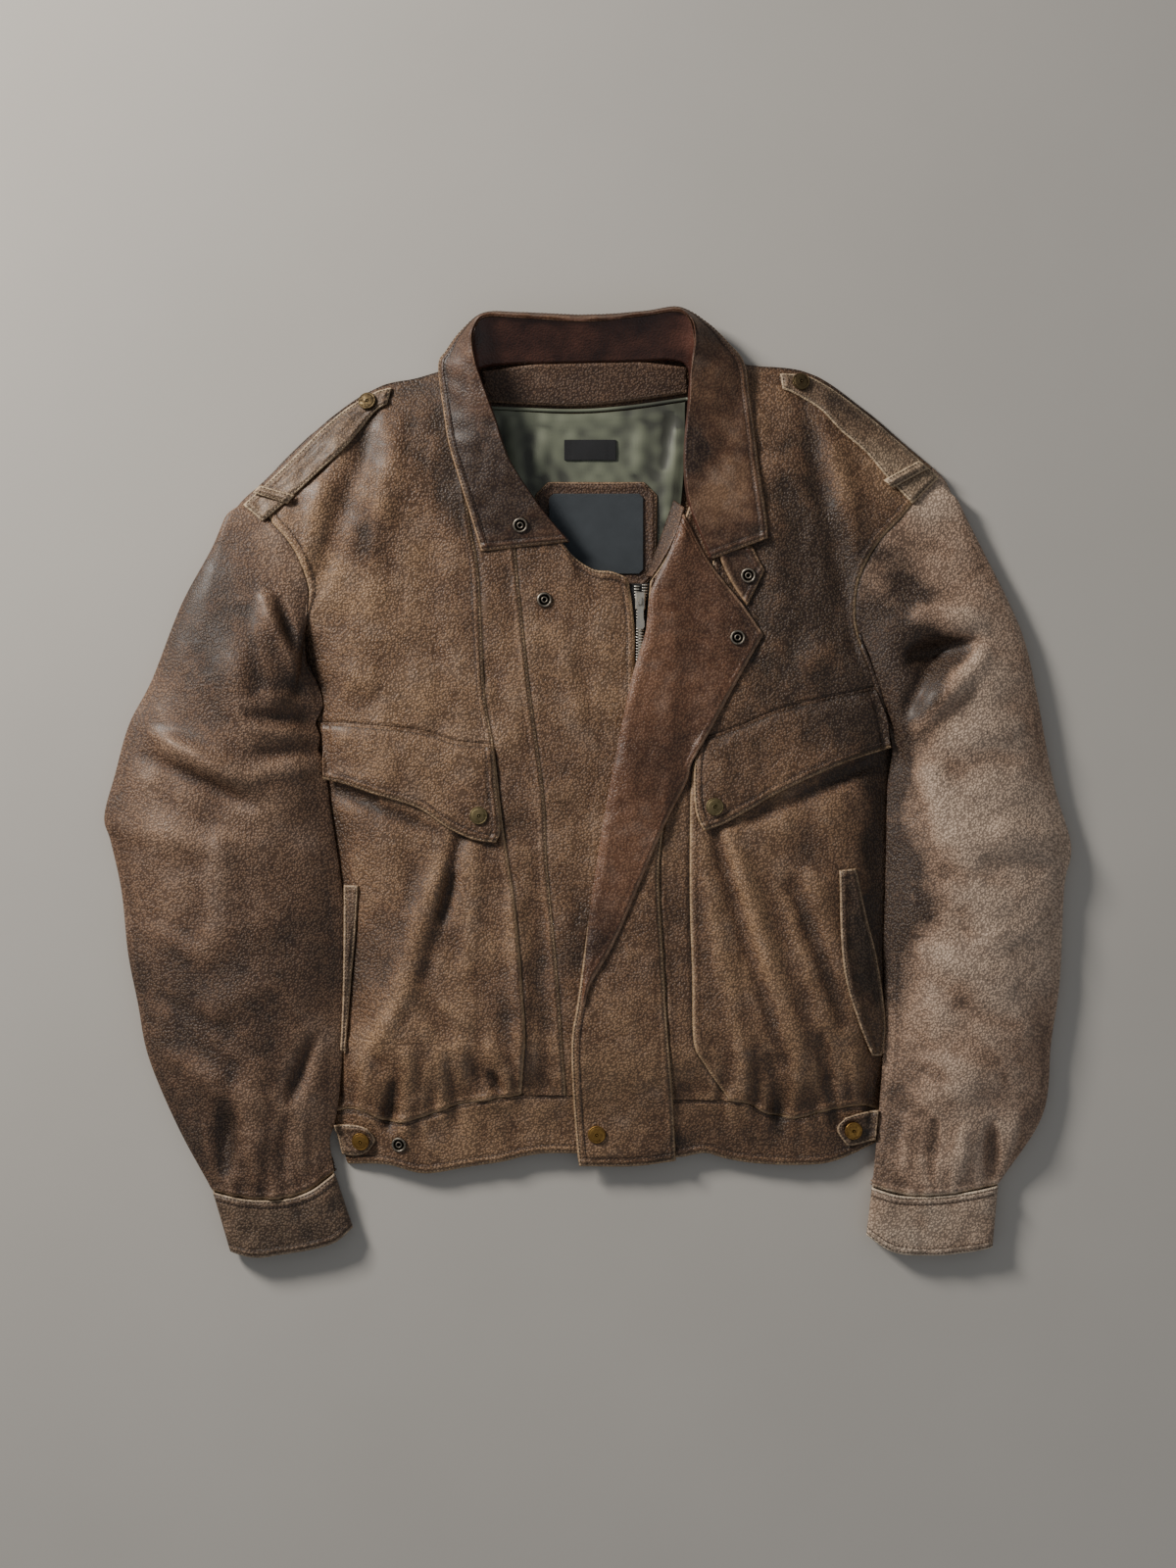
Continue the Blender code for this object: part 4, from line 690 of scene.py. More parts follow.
def put(name, mesh, material, body="jacket", stands_for=()):
    """An object for a mesh, in the scene, with its material, riding on a body and standing for solids."""
    mesh.materials.append(material)
    thing = bpy.data.objects.new(name, mesh)
    bpy.context.scene.collection.objects.link(thing)
    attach(thing, body)
    if stands_for:
        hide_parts(*stands_for)
    return thing


def add_marks(mesh, marks):
    """Numbers at a mesh's points, under their names."""
    for name, values in marks.items():
        layer = mesh.attributes.new(name, "FLOAT", "POINT")
        layer.data.foreach_set("value", np.ascontiguousarray(values, dtype=np.float32).ravel())


def add_map(mesh, points):
    """A UV map in metres: how far each point is across and down its piece."""
    away = border_distances(points)
    flat = np.stack([away["left"], away["top"]], axis=-1).reshape(-1, 2) * MM
    corner_points = np.empty(len(mesh.loops), dtype=np.int32)
    mesh.loops.foreach_get("vertex_index", corner_points)
    layer = mesh.uv_layers.new(name="UVMap")
    layer.data.foreach_set("uv", flat[corner_points].astype(np.float32).ravel())


def surface_area(points):
    """The area of a grid, as the sum over its faces of half the cross product of their diagonals."""
    a, b = points[1:, 1:] - points[:-1, :-1], points[1:, :-1] - points[:-1, 1:]
    return np.linalg.norm(np.cross(a, b), axis=-1).sum() / 2


def sunk_or_raised(height, mean, span):
    """How far heights stand over their mean, from -1 to 1, where a span is full strength."""
    return np.clip((height - mean) / span, -1, 1)


def sew(name, points, wall, material, borders=None, closed=False, inside=0.0, height=True):
    """Make one piece of leather or cloth from its outer face: its borders, marks, wall and cut size."""
    borders = borders or {}
    cut = points
    form, wear, seam_shadow_and_darkening = border_form(points, borders)
    if height:
        points = points + form[..., None] * (0, 0, 1)
    around = np.concatenate([cut, cut[:, :1]], axis=1) if closed else cut
    near = blurred(points[..., 2], CURVE_ROUNDS)
    broad = blurred(near, BROAD_ROUNDS)
    flat = points.reshape(-1, 3) * MM
    faces = facing_out(flat, grid_faces(*points.shape[:2], closed), closed)
    mesh = bpy.data.meshes.new(name)
    mesh.from_pydata(flat.tolist(), [], faces.tolist())
    mesh.shade_smooth()
    # The fold and rise marks paint shade into creases and hollows and light onto ridges and high places; rise
    # also stands for dirt in broad hollows.
    add_marks(mesh, {
        "wear": wear, "seam_shadow_and_darkening": seam_shadow_and_darkening, "stain_and_shading": stain_and_shading_of(points[..., :2]),
        "fold_shading": sunk_or_raised(points[..., 2], near, FOLD_SPAN),
        "rise": sunk_or_raised(points[..., 2], broad, BROAD_SPAN),
        "inside": np.broadcast_to(inside, points.shape[:2]),
    })
    add_map(mesh, points)
    piece = put("worn_" + name, mesh, material, stands_for=[name])
    skin = piece.modifiers.new("wall", "SOLIDIFY")
    skin.thickness = wall * MM
    skin.offset = -1
    wide = max(run_of(line)[-1] for line in (around[0], around[-1])) * MM
    tall = max(run_of(line)[-1] for line in (around[:, 0], around[:, -1])) * MM
    area = surface_area(around) * MM * MM
    wide = max(wide, area / tall)
    lay_in_ground(points if height else around)
    made[name] = {"points": points, "borders": borders, "flat": (round(wide, 3), round(tall, 3))}


print("marks", "wear, dirt, stain, fold, rise, inside")
# %% [markdown]
# ## Pebbled cowhide
# Brown cowhide, drum-dyed, shrunk so that its grain stands up in pebbles, then waxed. The eye sees pebbles
# whose tops have rubbed pale and whose valleys stay dark, clouds of darker dye, grey scuffs on the high places,
# and a dull waxy gleam. The valleys come from a cell pattern, the clouds from wide noise, and wear from the
# numbers on the mesh. Those numbers also paint light and shade into the colour: a painted shadow and darker
# stitch rows along seams, painted shade in creases and hollows with painted light on ridges and high places,
# some dirt in broad hollows, and stains mixed with painted shading. Collar and lapel have been handled smooth,
# so their grain is weaker.

# %% Leather
# Sizes are in metres. Real pebbles are 1 to 2 mm across and are drawn at 2.1 mm, and the real fine grain of
# about 0.3 mm is drawn at 0.7 mm, since both are too fine to show from this far. Pores lie about 5 mm apart.
PEBBLE = 0.0021
PORE = 0.0050
GRAIN_DEPTH = 0.00072
BEND_SIZE, BEND_SHIFT = 0.004, 0.0016
NOISES = {"cloud": (0.11, 5.0, 0.62), "patches": (0.021, 4.0, 0.6), "grain": (0.0007, 2.0, 0.55),
          "scuff": (0.030, 6.0, 0.72), "thin": (0.006, 4.0, 0.7)}
# The tone mixes dye clouds and patches with painted shading: stains with painted light and shade, and the fold
# and rise marks, which paint creases and hollows darker and ridges and high places lighter.
TONE_WEIGHTS = {"stain_and_shading": 0.40, "patches": 0.22, "rise": 0.12, "fold_shading": 0.10}
COAT = {"Coat_Weight": 0.12, "Coat_Roughness": 0.32}
INSIDE_POLISH = 0.16


def worn_leather(name, browns, gloss=0.5, grain_share=1.0, inner=None):
    """Waxed cowhide from four browns: its dark and middle dye, its light places and its pale worn edges, toned
    with painted shading.
    """
    dark, middle, light, pale = browns
    made_material, tree, place = new_material(name, **COAT)
    bend = add(tree, "TexNoise", {"Vector": place, "Scale": 1 / BEND_SIZE, "Detail": 2.0}, "Color")
    shift = add(tree, "VectorMath", {0: bend, "Scale": BEND_SHIFT}, operation="SCALE")
    wavy = add(tree, "VectorMath", [place, shift], operation="ADD")
    values = {
        key: add(tree, "TexNoise", {"Vector": place, "Scale": 1 / size, "Detail": detail, "Roughness": rough})
        for key, (size, detail, rough) in NOISES.items()
    }
    for key in ("stain_and_shading", "fold_shading", "rise", "seam_shadow_and_darkening", "wear", "inside"):
        values[key] = add(tree, "Attribute", out="Fac", attribute_name=key)
    pebbles = {"Vector": wavy, "Scale": 1 / PEBBLE, "Smoothness": 0.25}
    values["pebble"] = add(tree, "TexVoronoi", pebbles, feature="SMOOTH_F1")
    values["pore"] = add(tree, "TexVoronoi", {"Vector": wavy, "Scale": 1 / PORE})
    tone = add(tree, "Math", [values["cloud"], TONE_WEIGHTS["patches"] / 2], operation="SUBTRACT")
    for key, weight in TONE_WEIGHTS.items():
        tone = add(tree, "Math", [values[key], weight, tone], operation="MULTIPLY_ADD")
    values["tone"] = tone
    layers = [
        ([("tone", 0.26, 0.52, 0, 1)], middle),
        ([("tone", 0.50, 0.80, 0, 1)], light),
        ([("scuff", 0.50, 0.70, 0, 0.38), ("tone", 0.40, 0.66, 0, 1)], "#9C8B80"),
        ([("patches", 0.56, 0.72, 0, 0.3)], "#6E4A33"),
        ([("pebble", 0.32, 0.64, 0, 0.55 * grain_share)], "#2A1A10"),
        ([("pebble", 0.32, 0.64, 0.07, 0)], "#D9B48C"),
        ([("pore", 0.10, 0.24, 0.42, 0)], "#1E130D"),
        # A painted shadow beside lapped seams, and darker stitch rows.
        ([("seam_shadow_and_darkening", 0, 1, 0, 0.60)], "#1B110B"),
        ([("thin", 0.30, 0.62, 0.195, 0.975), ("wear", 0, 1, 0, 1)], pale),
    ]
    rough = add(tree, "MapRange", [values["patches"], 0.3, 0.7, gloss - 0.07, gloss + 0.13])
    if inner:
        polish = layered(tree, values, inner[0], [([("patches", 0.3, 0.7, 0, 1)], inner[1])])
        layers.append(([("inside", 0, 1, 0, 1)], polish))
        rough = add(tree, "Math", [values["inside"], -INSIDE_POLISH, rough], operation="MULTIPLY_ADD")
    relief = add(tree, "MapRange", [values["pebble"], 0.32, 0.64, 0.75, 0])
    relief = add(tree, "Math", [values["grain"], 0.25, relief], operation="MULTIPLY_ADD")
    pits = add(tree, "MapRange", [values["pore"], 0.10, 0.24, 0.35, 0])
    relief = add(tree, "Math", [relief, pits], operation="SUBTRACT")
    bump = add(tree, "Bump", {"Height": relief, "Strength": 0.75, "Distance": GRAIN_DEPTH * grain_share})
    colour = layered(tree, values, dark, layers)
    return finished(made_material, Base_Color=colour, Roughness=rough, Normal=bump)


LEATHERS = {
    "body": (("#342316", "#74543B", "#A3805F", "#BFA17D"), 0.50),
    "sleeve_right": (("#33231A", "#6C4F3B", "#977860", "#BFA17D"), 0.53),
    "sleeve_left": (("#3A2A20", "#B3927A", "#DCC0A8", "#E6D2B6"), 0.50),
    "cuff_right": (("#382C23", "#7B6450", "#AE9179", "#C9B193"), 0.55),
    "cuff_left": (("#5A4A3D", "#BA9D85", "#E0C9B2", "#E8D6BC"), 0.55),
    "trim": (("#30251C", "#684F3B", "#98795C", "#BFA484"), 0.55),
    "strap": (("#43352A", "#836952", "#AE967C", "#CDB594"), 0.58),
    "lapel": (("#331C12", "#65412C", "#8A6147", "#B8967A"), 0.46, 0.6),
    "collar": (("#26140C", "#553725", "#86654B", "#B0906F"), 0.5, 0.45, ("#38221D", "#603C30")),
    "band": (("#33221A", "#573D2D", "#7A5C46", "#9C7E62"), 0.6),
}
LEATHER_KIND = {"lapel": "smooth_cowhide_", "collar": "smooth_cowhide_", "band": "brown_nappa_"}
leather = {key: worn_leather(LEATHER_KIND.get(key, "pebbled_cowhide_") + key, *look)
           for key, look in LEATHERS.items()}
print("leathers", len(leather))

# %% [markdown]
# ## The body
# Yoke, front, a narrow strip, placket and waistband on each side share one height function, so their seams
# meet. The panel on top of a seam has a turned, worn edge, and the one under it dips. The back lies flat.

# %% Panels of the two fronts
GATHER_RISE, GATHER_REACH, GATHER_SIZE, GATHER_SEED = 2.2, 34, 19, 8
GATHER_SHARE = {"front": 1, "strip": 1, "waistband": 0.35}


def waist_gathers(plan):
    """Soft gathers over the waistband: unevenness across the seam that fades within a few centimetres of it."""
    away = np.min([distance_to(plan, WAIST_SEAM[side]) for side in WAIST_SEAM], axis=0)
    return GATHER_RISE * unevenness(plan * (1, 0.25), GATHER_SIZE, GATHER_SEED) * np.exp(-away / GATHER_REACH)


def front_shapes(side):
    """The edges of one side's panels, by name."""
    right = side == "right"
    upper, lower = STRIP_EDGE_UPPER[side], STRIP_EDGE_LOWER[side]
    outer_yoke = outline(ARMHOLE_UPPER[side], ARMHOLE_LOWER[side]) if right else outline(ARMHOLE_UPPER[side])
    outer_front = outline(SIDE[side]) if right else outline(ARMHOLE_LOWER[side], SIDE[side])
    seam, zip_edge = PLACKET_SEAM[side], ZIP_EDGE[side]
    waist = outline(WAIST_SEAM[side], [WAIST_SEAM[side][-1], seam[-1]], [seam[-1], zip_edge[-1]])
    return {
        "yoke": {"top": SHOULDER[side], "bottom": YOKE_SEAM[side], "left": upper, "right": outer_yoke},
        "front": {"top": YOKE_SEAM[side], "bottom": outline(WAIST_SEAM[side])[::-1], "left": lower,
                  "right": outer_front},
        "strip": {"left": outline(upper, lower), "right": outline(NECK_LINE[side], seam)},
        "placket": {"top": PLACKET_NECK[side], "left": seam, "right": zip_edge},
        "waistband": {"top": waist, "bottom": HEM[side]},
    }


FRONT_BORDERS = {
    "yoke": {"top": ("lapped", ()), "bottom": ("lapped", ()), "left": ("turned", DOUBLE_ROW),
             "right": ("turned", WIDE_ROW)},
    "front": {"bottom": ("turned", ()), "left": ("turned", ())},
    "strip": {"left": ("lapped", ()), "right": ("turned", SINGLE_ROW)},
    "placket": {"top": ("turned", DOUBLE_ROW), "left": ("lapped", ()), "right": ("turned", WIDE_ROW)},
    "waistband": {"top": ("lapped", SINGLE_ROW), "bottom": ("turned", DOUBLE_ROW), "right": ("turned", ())},
}


def with_height(plan, height):
    """Plan points with their heights."""
    return np.concatenate([plan, height[..., None]], axis=-1)


for side in ("right", "left"):
    for panel, shape in front_shapes(side).items():
        plan = four_sided(shape)
        lie = worn_front(plan) + GATHER_SHARE.get(panel, 0) * waist_gathers(plan)
        sew(f"{panel}_{side}", with_height(plan, lie), WALL, leather["body"],
            FRONT_BORDERS[panel])
print("front panels", len(made), "last", made["waistband_left"]["points"].shape)

# %% The back, flat on the floor
HIDDEN_STEP = 12


def sew_flat(name, shape, material):
    """A hidden piece that lies flat on the floor, on a coarse grid."""
    plan = four_sided(shape, HIDDEN_STEP)
    sew(name, with_height(plan, np.full(plan.shape[:2], WALL)), WALL, material)


sew_flat("back_panel", {
    "top": outline(SHOULDER["right"][::-1], [SHOULDER["right"][0], (-95, 398), (0, 400), (98, 400),
                                             SHOULDER["left"][0]], SHOULDER["left"]),
    "left": outline(ARMHOLE_UPPER["right"], ARMHOLE_LOWER["right"], SIDE["right"]),
    "right": outline(ARMHOLE_UPPER["left"], ARMHOLE_LOWER["left"], SIDE["left"]),
}, leather["body"])
sew_flat("waistband_back", {
    "top": [(-237, -304), (271, -304)],
    "bottom": outline(HEM["right"], [HEM["right"][-1], HEM["left"][-1]], HEM["left"][::-1]),
}, leather["body"])
print("back", made["back_panel"]["flat"], "m")

# %% [markdown]
# ## Sleeves and cuffs
# A sleeve is an arch over its own flat underside. Across, it starts tucked in at the floor, rounds out to its
# widest and arches over; down its length it bends with the arm and takes the armhole's and the cuff's curves at
# its ends. Elbow folds and the crumple above the cuff are placed one by one.

# %% Sleeves
SLEEVE_HEIGHT = [(0, 24), (0.2, 36), (0.45, 39), (0.8, 34), (0.93, 27), (1, 21)]
SLEEVE_ROWS, SLEEVE_COLUMNS = 17, 12
SLEEVE_SIDE, SLEEVE_TUCK = 11, 5
SLEEVE_POWER, SLACK_POWER = 0.7, 0.5
OVERHANG = {
    "right": [(-358, 0), (-330, 2), (-290, 5), (-190, 6), (-20, 7), (4, 8), (20, 10), (31, 5), (43, 10),
              (56, 7), (71, 15), (84, 15), (98, 13), (112, 8), (130, 0)],
    "left": [(-371, 0), (-340, 2), (-289, 5), (-100, 6), (0, 7), (30, 4), (50, 0)],
}
OVERHANG_REACH = 0.16
HEAD_REACH = (0.06, 0.24)
FOOT_REACH = 0.2
HEAD_BLEND = 0.1
CRUMPLE_RISE, CRUMPLE_REACH = 1.6, 26
SLEEVE_BORDERS = {"top": ("lapped", ()), "bottom": ("turned", ())}


def bent_ends(line, across):
    """How far a line lies from the straight one between its ends."""
    return line - (line[0] * (1 - across[:, None]) + line[-1] * across[:, None])


def sleeve_points(side):
    """The upper face of a sleeve: seams blended down its length, and a sine arch to a power across it."""
    head = outline(ARMHOLE_UPPER[side], *[ARMHOLE_LOWER[side]] * (side == "left"))
    outer, inner = outline(SLEEVE_OUTER[side]), outline(SLEEVE_INNER[side])
    length = run_of(outer)[-1]
    v = spacing(length)
    c = np.sort(np.r_[np.linspace(0, 1, 60), np.linspace(0, 0.2, 16)[1:-1], np.linspace(0.8, 1, 16)[1:-1]])
    outer, inner = along(outer, v), along(inner, v)
    run = c * SLEEVE_COLUMNS
    across = (1 - np.cos(np.pi * np.clip((run - 1) / (SLEEVE_COLUMNS - 2), 0, 1))) / 2
    start, end = np.clip(run, 0, 1), np.clip(SLEEVE_COLUMNS - run, 0, 1)
    rest = outer[:, None] * (1 - across[None, :, None]) + inner[:, None] * across[None, :, None]
    head_turn = bent_ends(along(head, c), across)
    foot_turn = bent_ends(along(outline(CUFF_TOP[side]), across), across)
    arch = np.sin(np.pi * across)[None]
    near_head = soft_step(1 - v[:, None] / (HEAD_REACH[0] + HEAD_REACH[1] * arch))
    near_foot = soft_step((v - 1) / FOOT_REACH + 1)
    plan = rest + near_head[..., None] * head_turn + near_foot[:, None, None] * foot_turn
    tuck = SLEEVE_TUCK * soft_step(v * SLEEVE_ROWS)[:, None]
    inward = unit(inner - outer)[:, None]
    plan += inward * (tuck * (np.sin(np.pi / 2 * end) - np.sin(np.pi / 2 * start)))[..., None]
    lap = np.interp(inner[:, 1], *np.array(OVERHANG[side]).T)[:, None]
    past_edge = soft_step(1 - (1 - c - 1 / SLEEVE_COLUMNS) / OVERHANG_REACH)
    spread = np.where(end < 1, np.sin(np.pi / 2 * end) ** 3, past_edge)
    plan[..., 0] += (1 if side == "right" else -1) * lap * spread
    top = np.interp(v, *np.array(SLEEVE_HEIGHT).T)[:, None]
    folds = fold_relief(plan, SLEEVE_FOLDS[side] + SLEEVE_CREASES[side])
    slack = unevenness(plan, 46, 5) + 0.25 * unevenness(plan, 13, 6)
    cuff_near = np.exp(-(1 - v[:, None]) * length / CRUMPLE_REACH)
    crumple = CRUMPLE_RISE * unevenness(plan * (1, 0.2), 15, 9) * cuff_near
    height = SLEEVE_SIDE + (top - SLEEVE_SIDE) * arch**SLEEVE_POWER
    height += (folds + slack + crumple) * arch**SLACK_POWER
    low = np.minimum(start, end)[None]
    rim = FLOOR_LEVEL + (SLEEVE_SIDE - FLOOR_LEVEL) * (1 - np.cos(np.pi / 2 * low))
    height = np.where(low < 1, rim, height)
    settle = soft_step(v / HEAD_BLEND)[:, None]
    return with_height(plan, worn_front(plan[0])[None] * (1 - settle) + height * settle)


for side in ("right", "left"):
    sleeve = sleeve_points(side)
    rim = sleeve[..., :2]
    sew_flat(f"sleeve_{side}_under", {"top": rim[0], "bottom": rim[-1], "left": rim[:, 0], "right": rim[:, -1]},
             leather[f"sleeve_{side}"])
    sew(f"sleeve_{side}_top", sleeve, WALL, leather[f"sleeve_{side}"], SLEEVE_BORDERS)
print("sleeve grid", made["sleeve_right_top"]["points"].shape)

# %% Cuffs
CUFF_HEIGHT = (20, 17)
CUFF_TURNS = 120
CUFF_WIDE, CUFF_TALL, CUFF_FLAT = 0.75, 1.15, 0.6
CUFF_START = 0.75
CUFF_SLACK, CUFF_SLACK_SIZE, CUFF_SEED = 0.5, 24, 12
CUFF_BORDERS = {"top": ("turned", DOUBLE_ROW), "bottom": ("turned", DOUBLE_ROW)}

for side in ("right", "left"):
    turn = np.linspace(0, 2 * np.pi, CUFF_TURNS, endpoint=False)
    across = 0.5 - 0.5 * np.sign(np.cos(turn)) * np.abs(np.cos(turn)) ** CUFF_WIDE
    level = np.sign(np.sin(turn)) * np.minimum(1, CUFF_TALL * np.abs(np.sin(turn)) ** CUFF_FLAT)
    top, end = along(outline(CUFF_TOP[side]), across), along(outline(CUFF_END[side]), across)
    top = top + unit(end - top) * CUFF_START
    share = spacing(np.linalg.norm(end - top, axis=1).mean(), step=3)[:, None]
    plan = top[None] + share[..., None] * (end - top)[None]
    upper = soft_step(level[None] * 1.5)
    height = (CUFF_HEIGHT[0] + share * (CUFF_HEIGHT[1] - CUFF_HEIGHT[0])) / 2 * (1 + level)
    height = height + upper * CUFF_SLACK * unevenness(plan, CUFF_SLACK_SIZE, CUFF_SEED)
    cuff = with_height(plan, height)
    cuff[..., 2] += border_form(cuff, CUFF_BORDERS)[0] * upper
    sew(f"cuff_{side}", cuff, WALL, leather[f"cuff_{side}"], CUFF_BORDERS, closed=True,
        height=False)
print("cuff round", made["cuff_right"]["flat"], "m")

# %% [markdown]
# ## What is sewn on the front
# Flaps, pocket welts, shoulder straps, their keepers and the waist tabs lie on the panels. Each is a patch laid
# on the ground map, which holds the height of all that was made before it. It is smoothed and lifted by turns,
# so it bridges small steps as thick leather does.

# %% Trim outlines
CHEST_FLAP = {
    "right": {
        "top": [(-86, 33), (-123, 37), (-151, 46), (-187, 50), (-224, 53), (-245, 54)],
        "bottom": [(-84, -54), (-105, -51), (-129, -40), (-156, -22), (-197, -9), (-224, 0), (-243, 4)],
        "left": [(-86, 33), (-84, 0), (-80, -40), (-84, -54)],
    },
    "left": {
        "top": [(100, 37), (138, 50), (171, 64), (204, 73), (237, 80), (264, 86)],
        "bottom": [(106, -43), (125, -36), (149, -23), (171, -10), (200, 4), (237, 20), (278, 33)],
        "left": [(100, 37), (97, 14), (97, -14), (100, -31), (106, -43)], "right": [(264, 86), (274, 60),
                 (278, 33)],
    },
}
WELT = {
    "right": {"left": [(-225, -93), (-225, -150), (-226, -200), (-228, -246)],
              "right": [(-211, -93), (-214, -139), (-218, -181), (-223, -246)]},
    "left": {"left": [(230, -79), (233, -165), (247, -216), (261, -250)],
             "right": [(246, -77), (256, -121), (267, -165), (274, -219), (271, -250)]},
}
EPAULETTE = {
    "right": {"top": [(-181, 366), (-196, 362), (-221, 348), (-246, 327), (-273, 300), (-298, 276),
                      (-318, 257)],
              "bottom": [(-185, 350), (-196, 343), (-208, 328), (-225, 307), (-246, 288), (-272, 264),
                         (-299, 241)]},
    "left": {"top": [(177, 379), (202, 377), (225, 365), (247, 349), (268, 332), (290, 313), (324, 283)],
             "bottom": [(179, 364), (189, 360), (213, 345), (233, 324), (256, 304), (275, 281), (298, 257)]},
}
KEEPER = {
    "right": {"top": [(-309, 268), (-276, 257)], "bottom": [(-302, 275), (-269, 265)]},
    "left": {"top": [(313, 290), (279, 271)], "bottom": [(305, 298), (271, 279)]},
}
WAIST_TAB = {
    "right": {"top": [(-234, -314), (-215, -314), (-203, -317)], "bottom": [(-227, -342), (-213, -343),
                      (-203, -339)],
              "right": [(-203, -317), (-196, -328), (-203, -339)]},
    "left": {"top": [(237, -307), (250, -303), (268, -300)], "bottom": [(239, -334), (250, -332),
                     (265, -328)],
             "left": [(237, -307), (229, -318), (239, -334)]},
}
FLAP_BORDERS = {"top": ("lapped", ()), "bottom": ("turned", DOUBLE_ROW), "left": ("turned", DOUBLE_ROW)}
ALL_TURNED = {edge: ("turned", SINGLE_ROW) for edge in ("top", "bottom", "left", "right")}
LAID_STEP = 3.4
PUFF_REACH, LIFT_REACH = 12, 14


def lay_on(name, shape, look, wall=WALL, borders=ALL_TURNED, gap=REST_GAP, puff=0.0,
           rounds=24, lift=0.0):
    """Sew a piece that lies on those below it, puffed up between its borders and lifted at its lower edge."""
    plan = four_sided(shape, LAID_STEP)
    away = border_distances(plan)
    low = ground_under(plan) + gap
    nearest = np.min(list(away.values()), axis=0)
    height = kept_over(low, low, rounds) + wall + puff * soft_step(nearest / PUFF_REACH)
    height += lift * np.exp(-away["bottom"] / LIFT_REACH) + 0.25 * unevenness(plan, 16, len(name))
    sew(name, with_height(plan, height), wall, leather[look], borders)


for side in ("right", "left"):
    lay_on(f"chest_flap_{side}", CHEST_FLAP[side], "body", borders=FLAP_BORDERS, puff=1.6, lift=2.2)
    lay_on(f"pocket_welt_{side}", WELT[side], "trim", TRIM_WALL)
    lay_on(f"epaulette_{side}", EPAULETTE[side], "strap", puff=0.8)
    lay_on(f"keeper_{side}", KEEPER[side], "strap", TRIM_WALL, gap=2 * REST_GAP, puff=0.8)
    lay_on(f"waist_tab_{side}", WAIST_TAB[side], "trim", gap=2 * REST_GAP)
print("pieces so far", len(made))

# %% [markdown]
# ## Fly and lapel
# The wearer's left front carries a fly that laps over the zip. Its top is turned back and shows the redder
# facing, which makes the lapel. The facing lies on the fly, the collar tab and the left front.

# %% Fly outlines
ROLL_LINE = [(58, 178), (54, 150), (52, 137), (40, 97), (28, 40), (17, -17), (8, -72), (1, -121)]
FLY = {
    "bottom": [(-8, -352), (42, -352), (81, -347)],
    "left": [(76, 214)] + ROLL_LINE + [(-9, -195), (-15, -234), (-14, -284), (-10, -337), (-8, -352)],
    "right": [(88, 230), (82, 180), (80, 120), (76, 40), (70, -30), (65, -84), (69, -162), (72, -216),
              (78, -292), (81, -347)],
}
FACING = {
    "top": [(88, 248), (110, 206), (143, 163), (161, 137)],
    "left": [(88, 248), (74, 212)] + ROLL_LINE + [(-6, -196)],
    "right": [(161, 137), (139, 98), (111, 47), (95, 19), (90, 1), (67, -45), (27, -139), (3, -182),
              (-3, -203)],
}
NECK_FACING_OUTER = [(88, 254), (80.8, 229), (66.8, 203.5), (57.8, 190.5)]
NECK_FACING_INNER = [(79, 262), (69, 234), (58, 203), (52, 192)]
NECK_FACING_DROP = 11
COLLAR_TAB = {"top": [(116, 218), (150, 219)], "bottom": [(146, 163), (162, 196)],
              "left": [(116, 218), (130, 187), (146, 163)]}
TAB_BORDERS = {"top": ("turned", SINGLE_ROW), "bottom": ("turned", DOUBLE_ROW), "left": ("turned", ()),
               "right": ("turned", DOUBLE_ROW)}
FLY_BORDERS = {"left": ("turned", DOUBLE_ROW), "right": ("turned", SINGLE_ROW),
               "bottom": ("turned", DOUBLE_ROW)}
FACING_BORDERS = {"top": ("turned", ()), "left": ("rolled", ()), "right": ("turned", ())}


def ruled(first, second, u, v):
    """A grid of straight lines from one curve to another: u along the curves, v between them."""
    first, second, v = along(outline(first), u), along(outline(second), u), v[:, None, None]
    return first[None] * (1 - v) + second[None] * v


lay_on("collar_tab_left", COLLAR_TAB, "collar", borders=TAB_BORDERS)
lay_on("fly_flap", FLY, "body", borders=FLY_BORDERS, puff=0.8, rounds=50)
lay_on("fly_facing", FACING, "lapel", borders=FACING_BORDERS, puff=1.5, rounds=80)

share = np.linspace(0, 1, 9)
neck_plan = ruled(NECK_FACING_OUTER, NECK_FACING_INNER, np.linspace(0, 1, 30), share).swapaxes(0, 1)
neck_height = front_height(neck_plan[:, :1]) - NECK_FACING_DROP * share - 1
# The neck facing takes the darker band leather, a painted shade, since it tilts towards the lamp.
sew("neck_facing_left", with_height(neck_plan, neck_height), WALL, leather["band"])
print("lapel", made["fly_facing"]["flat"], "m")

# %% [markdown]
# ## Collar
# The collar stands at the back of the neck and falls away at the sides. Its section at each station runs from
# the edge of the fall, over the crest, to the foot of the stand. A cubic through those stations' few points
# rounds it. Past the crest the inside shows, which is oxblood and polished by wear.

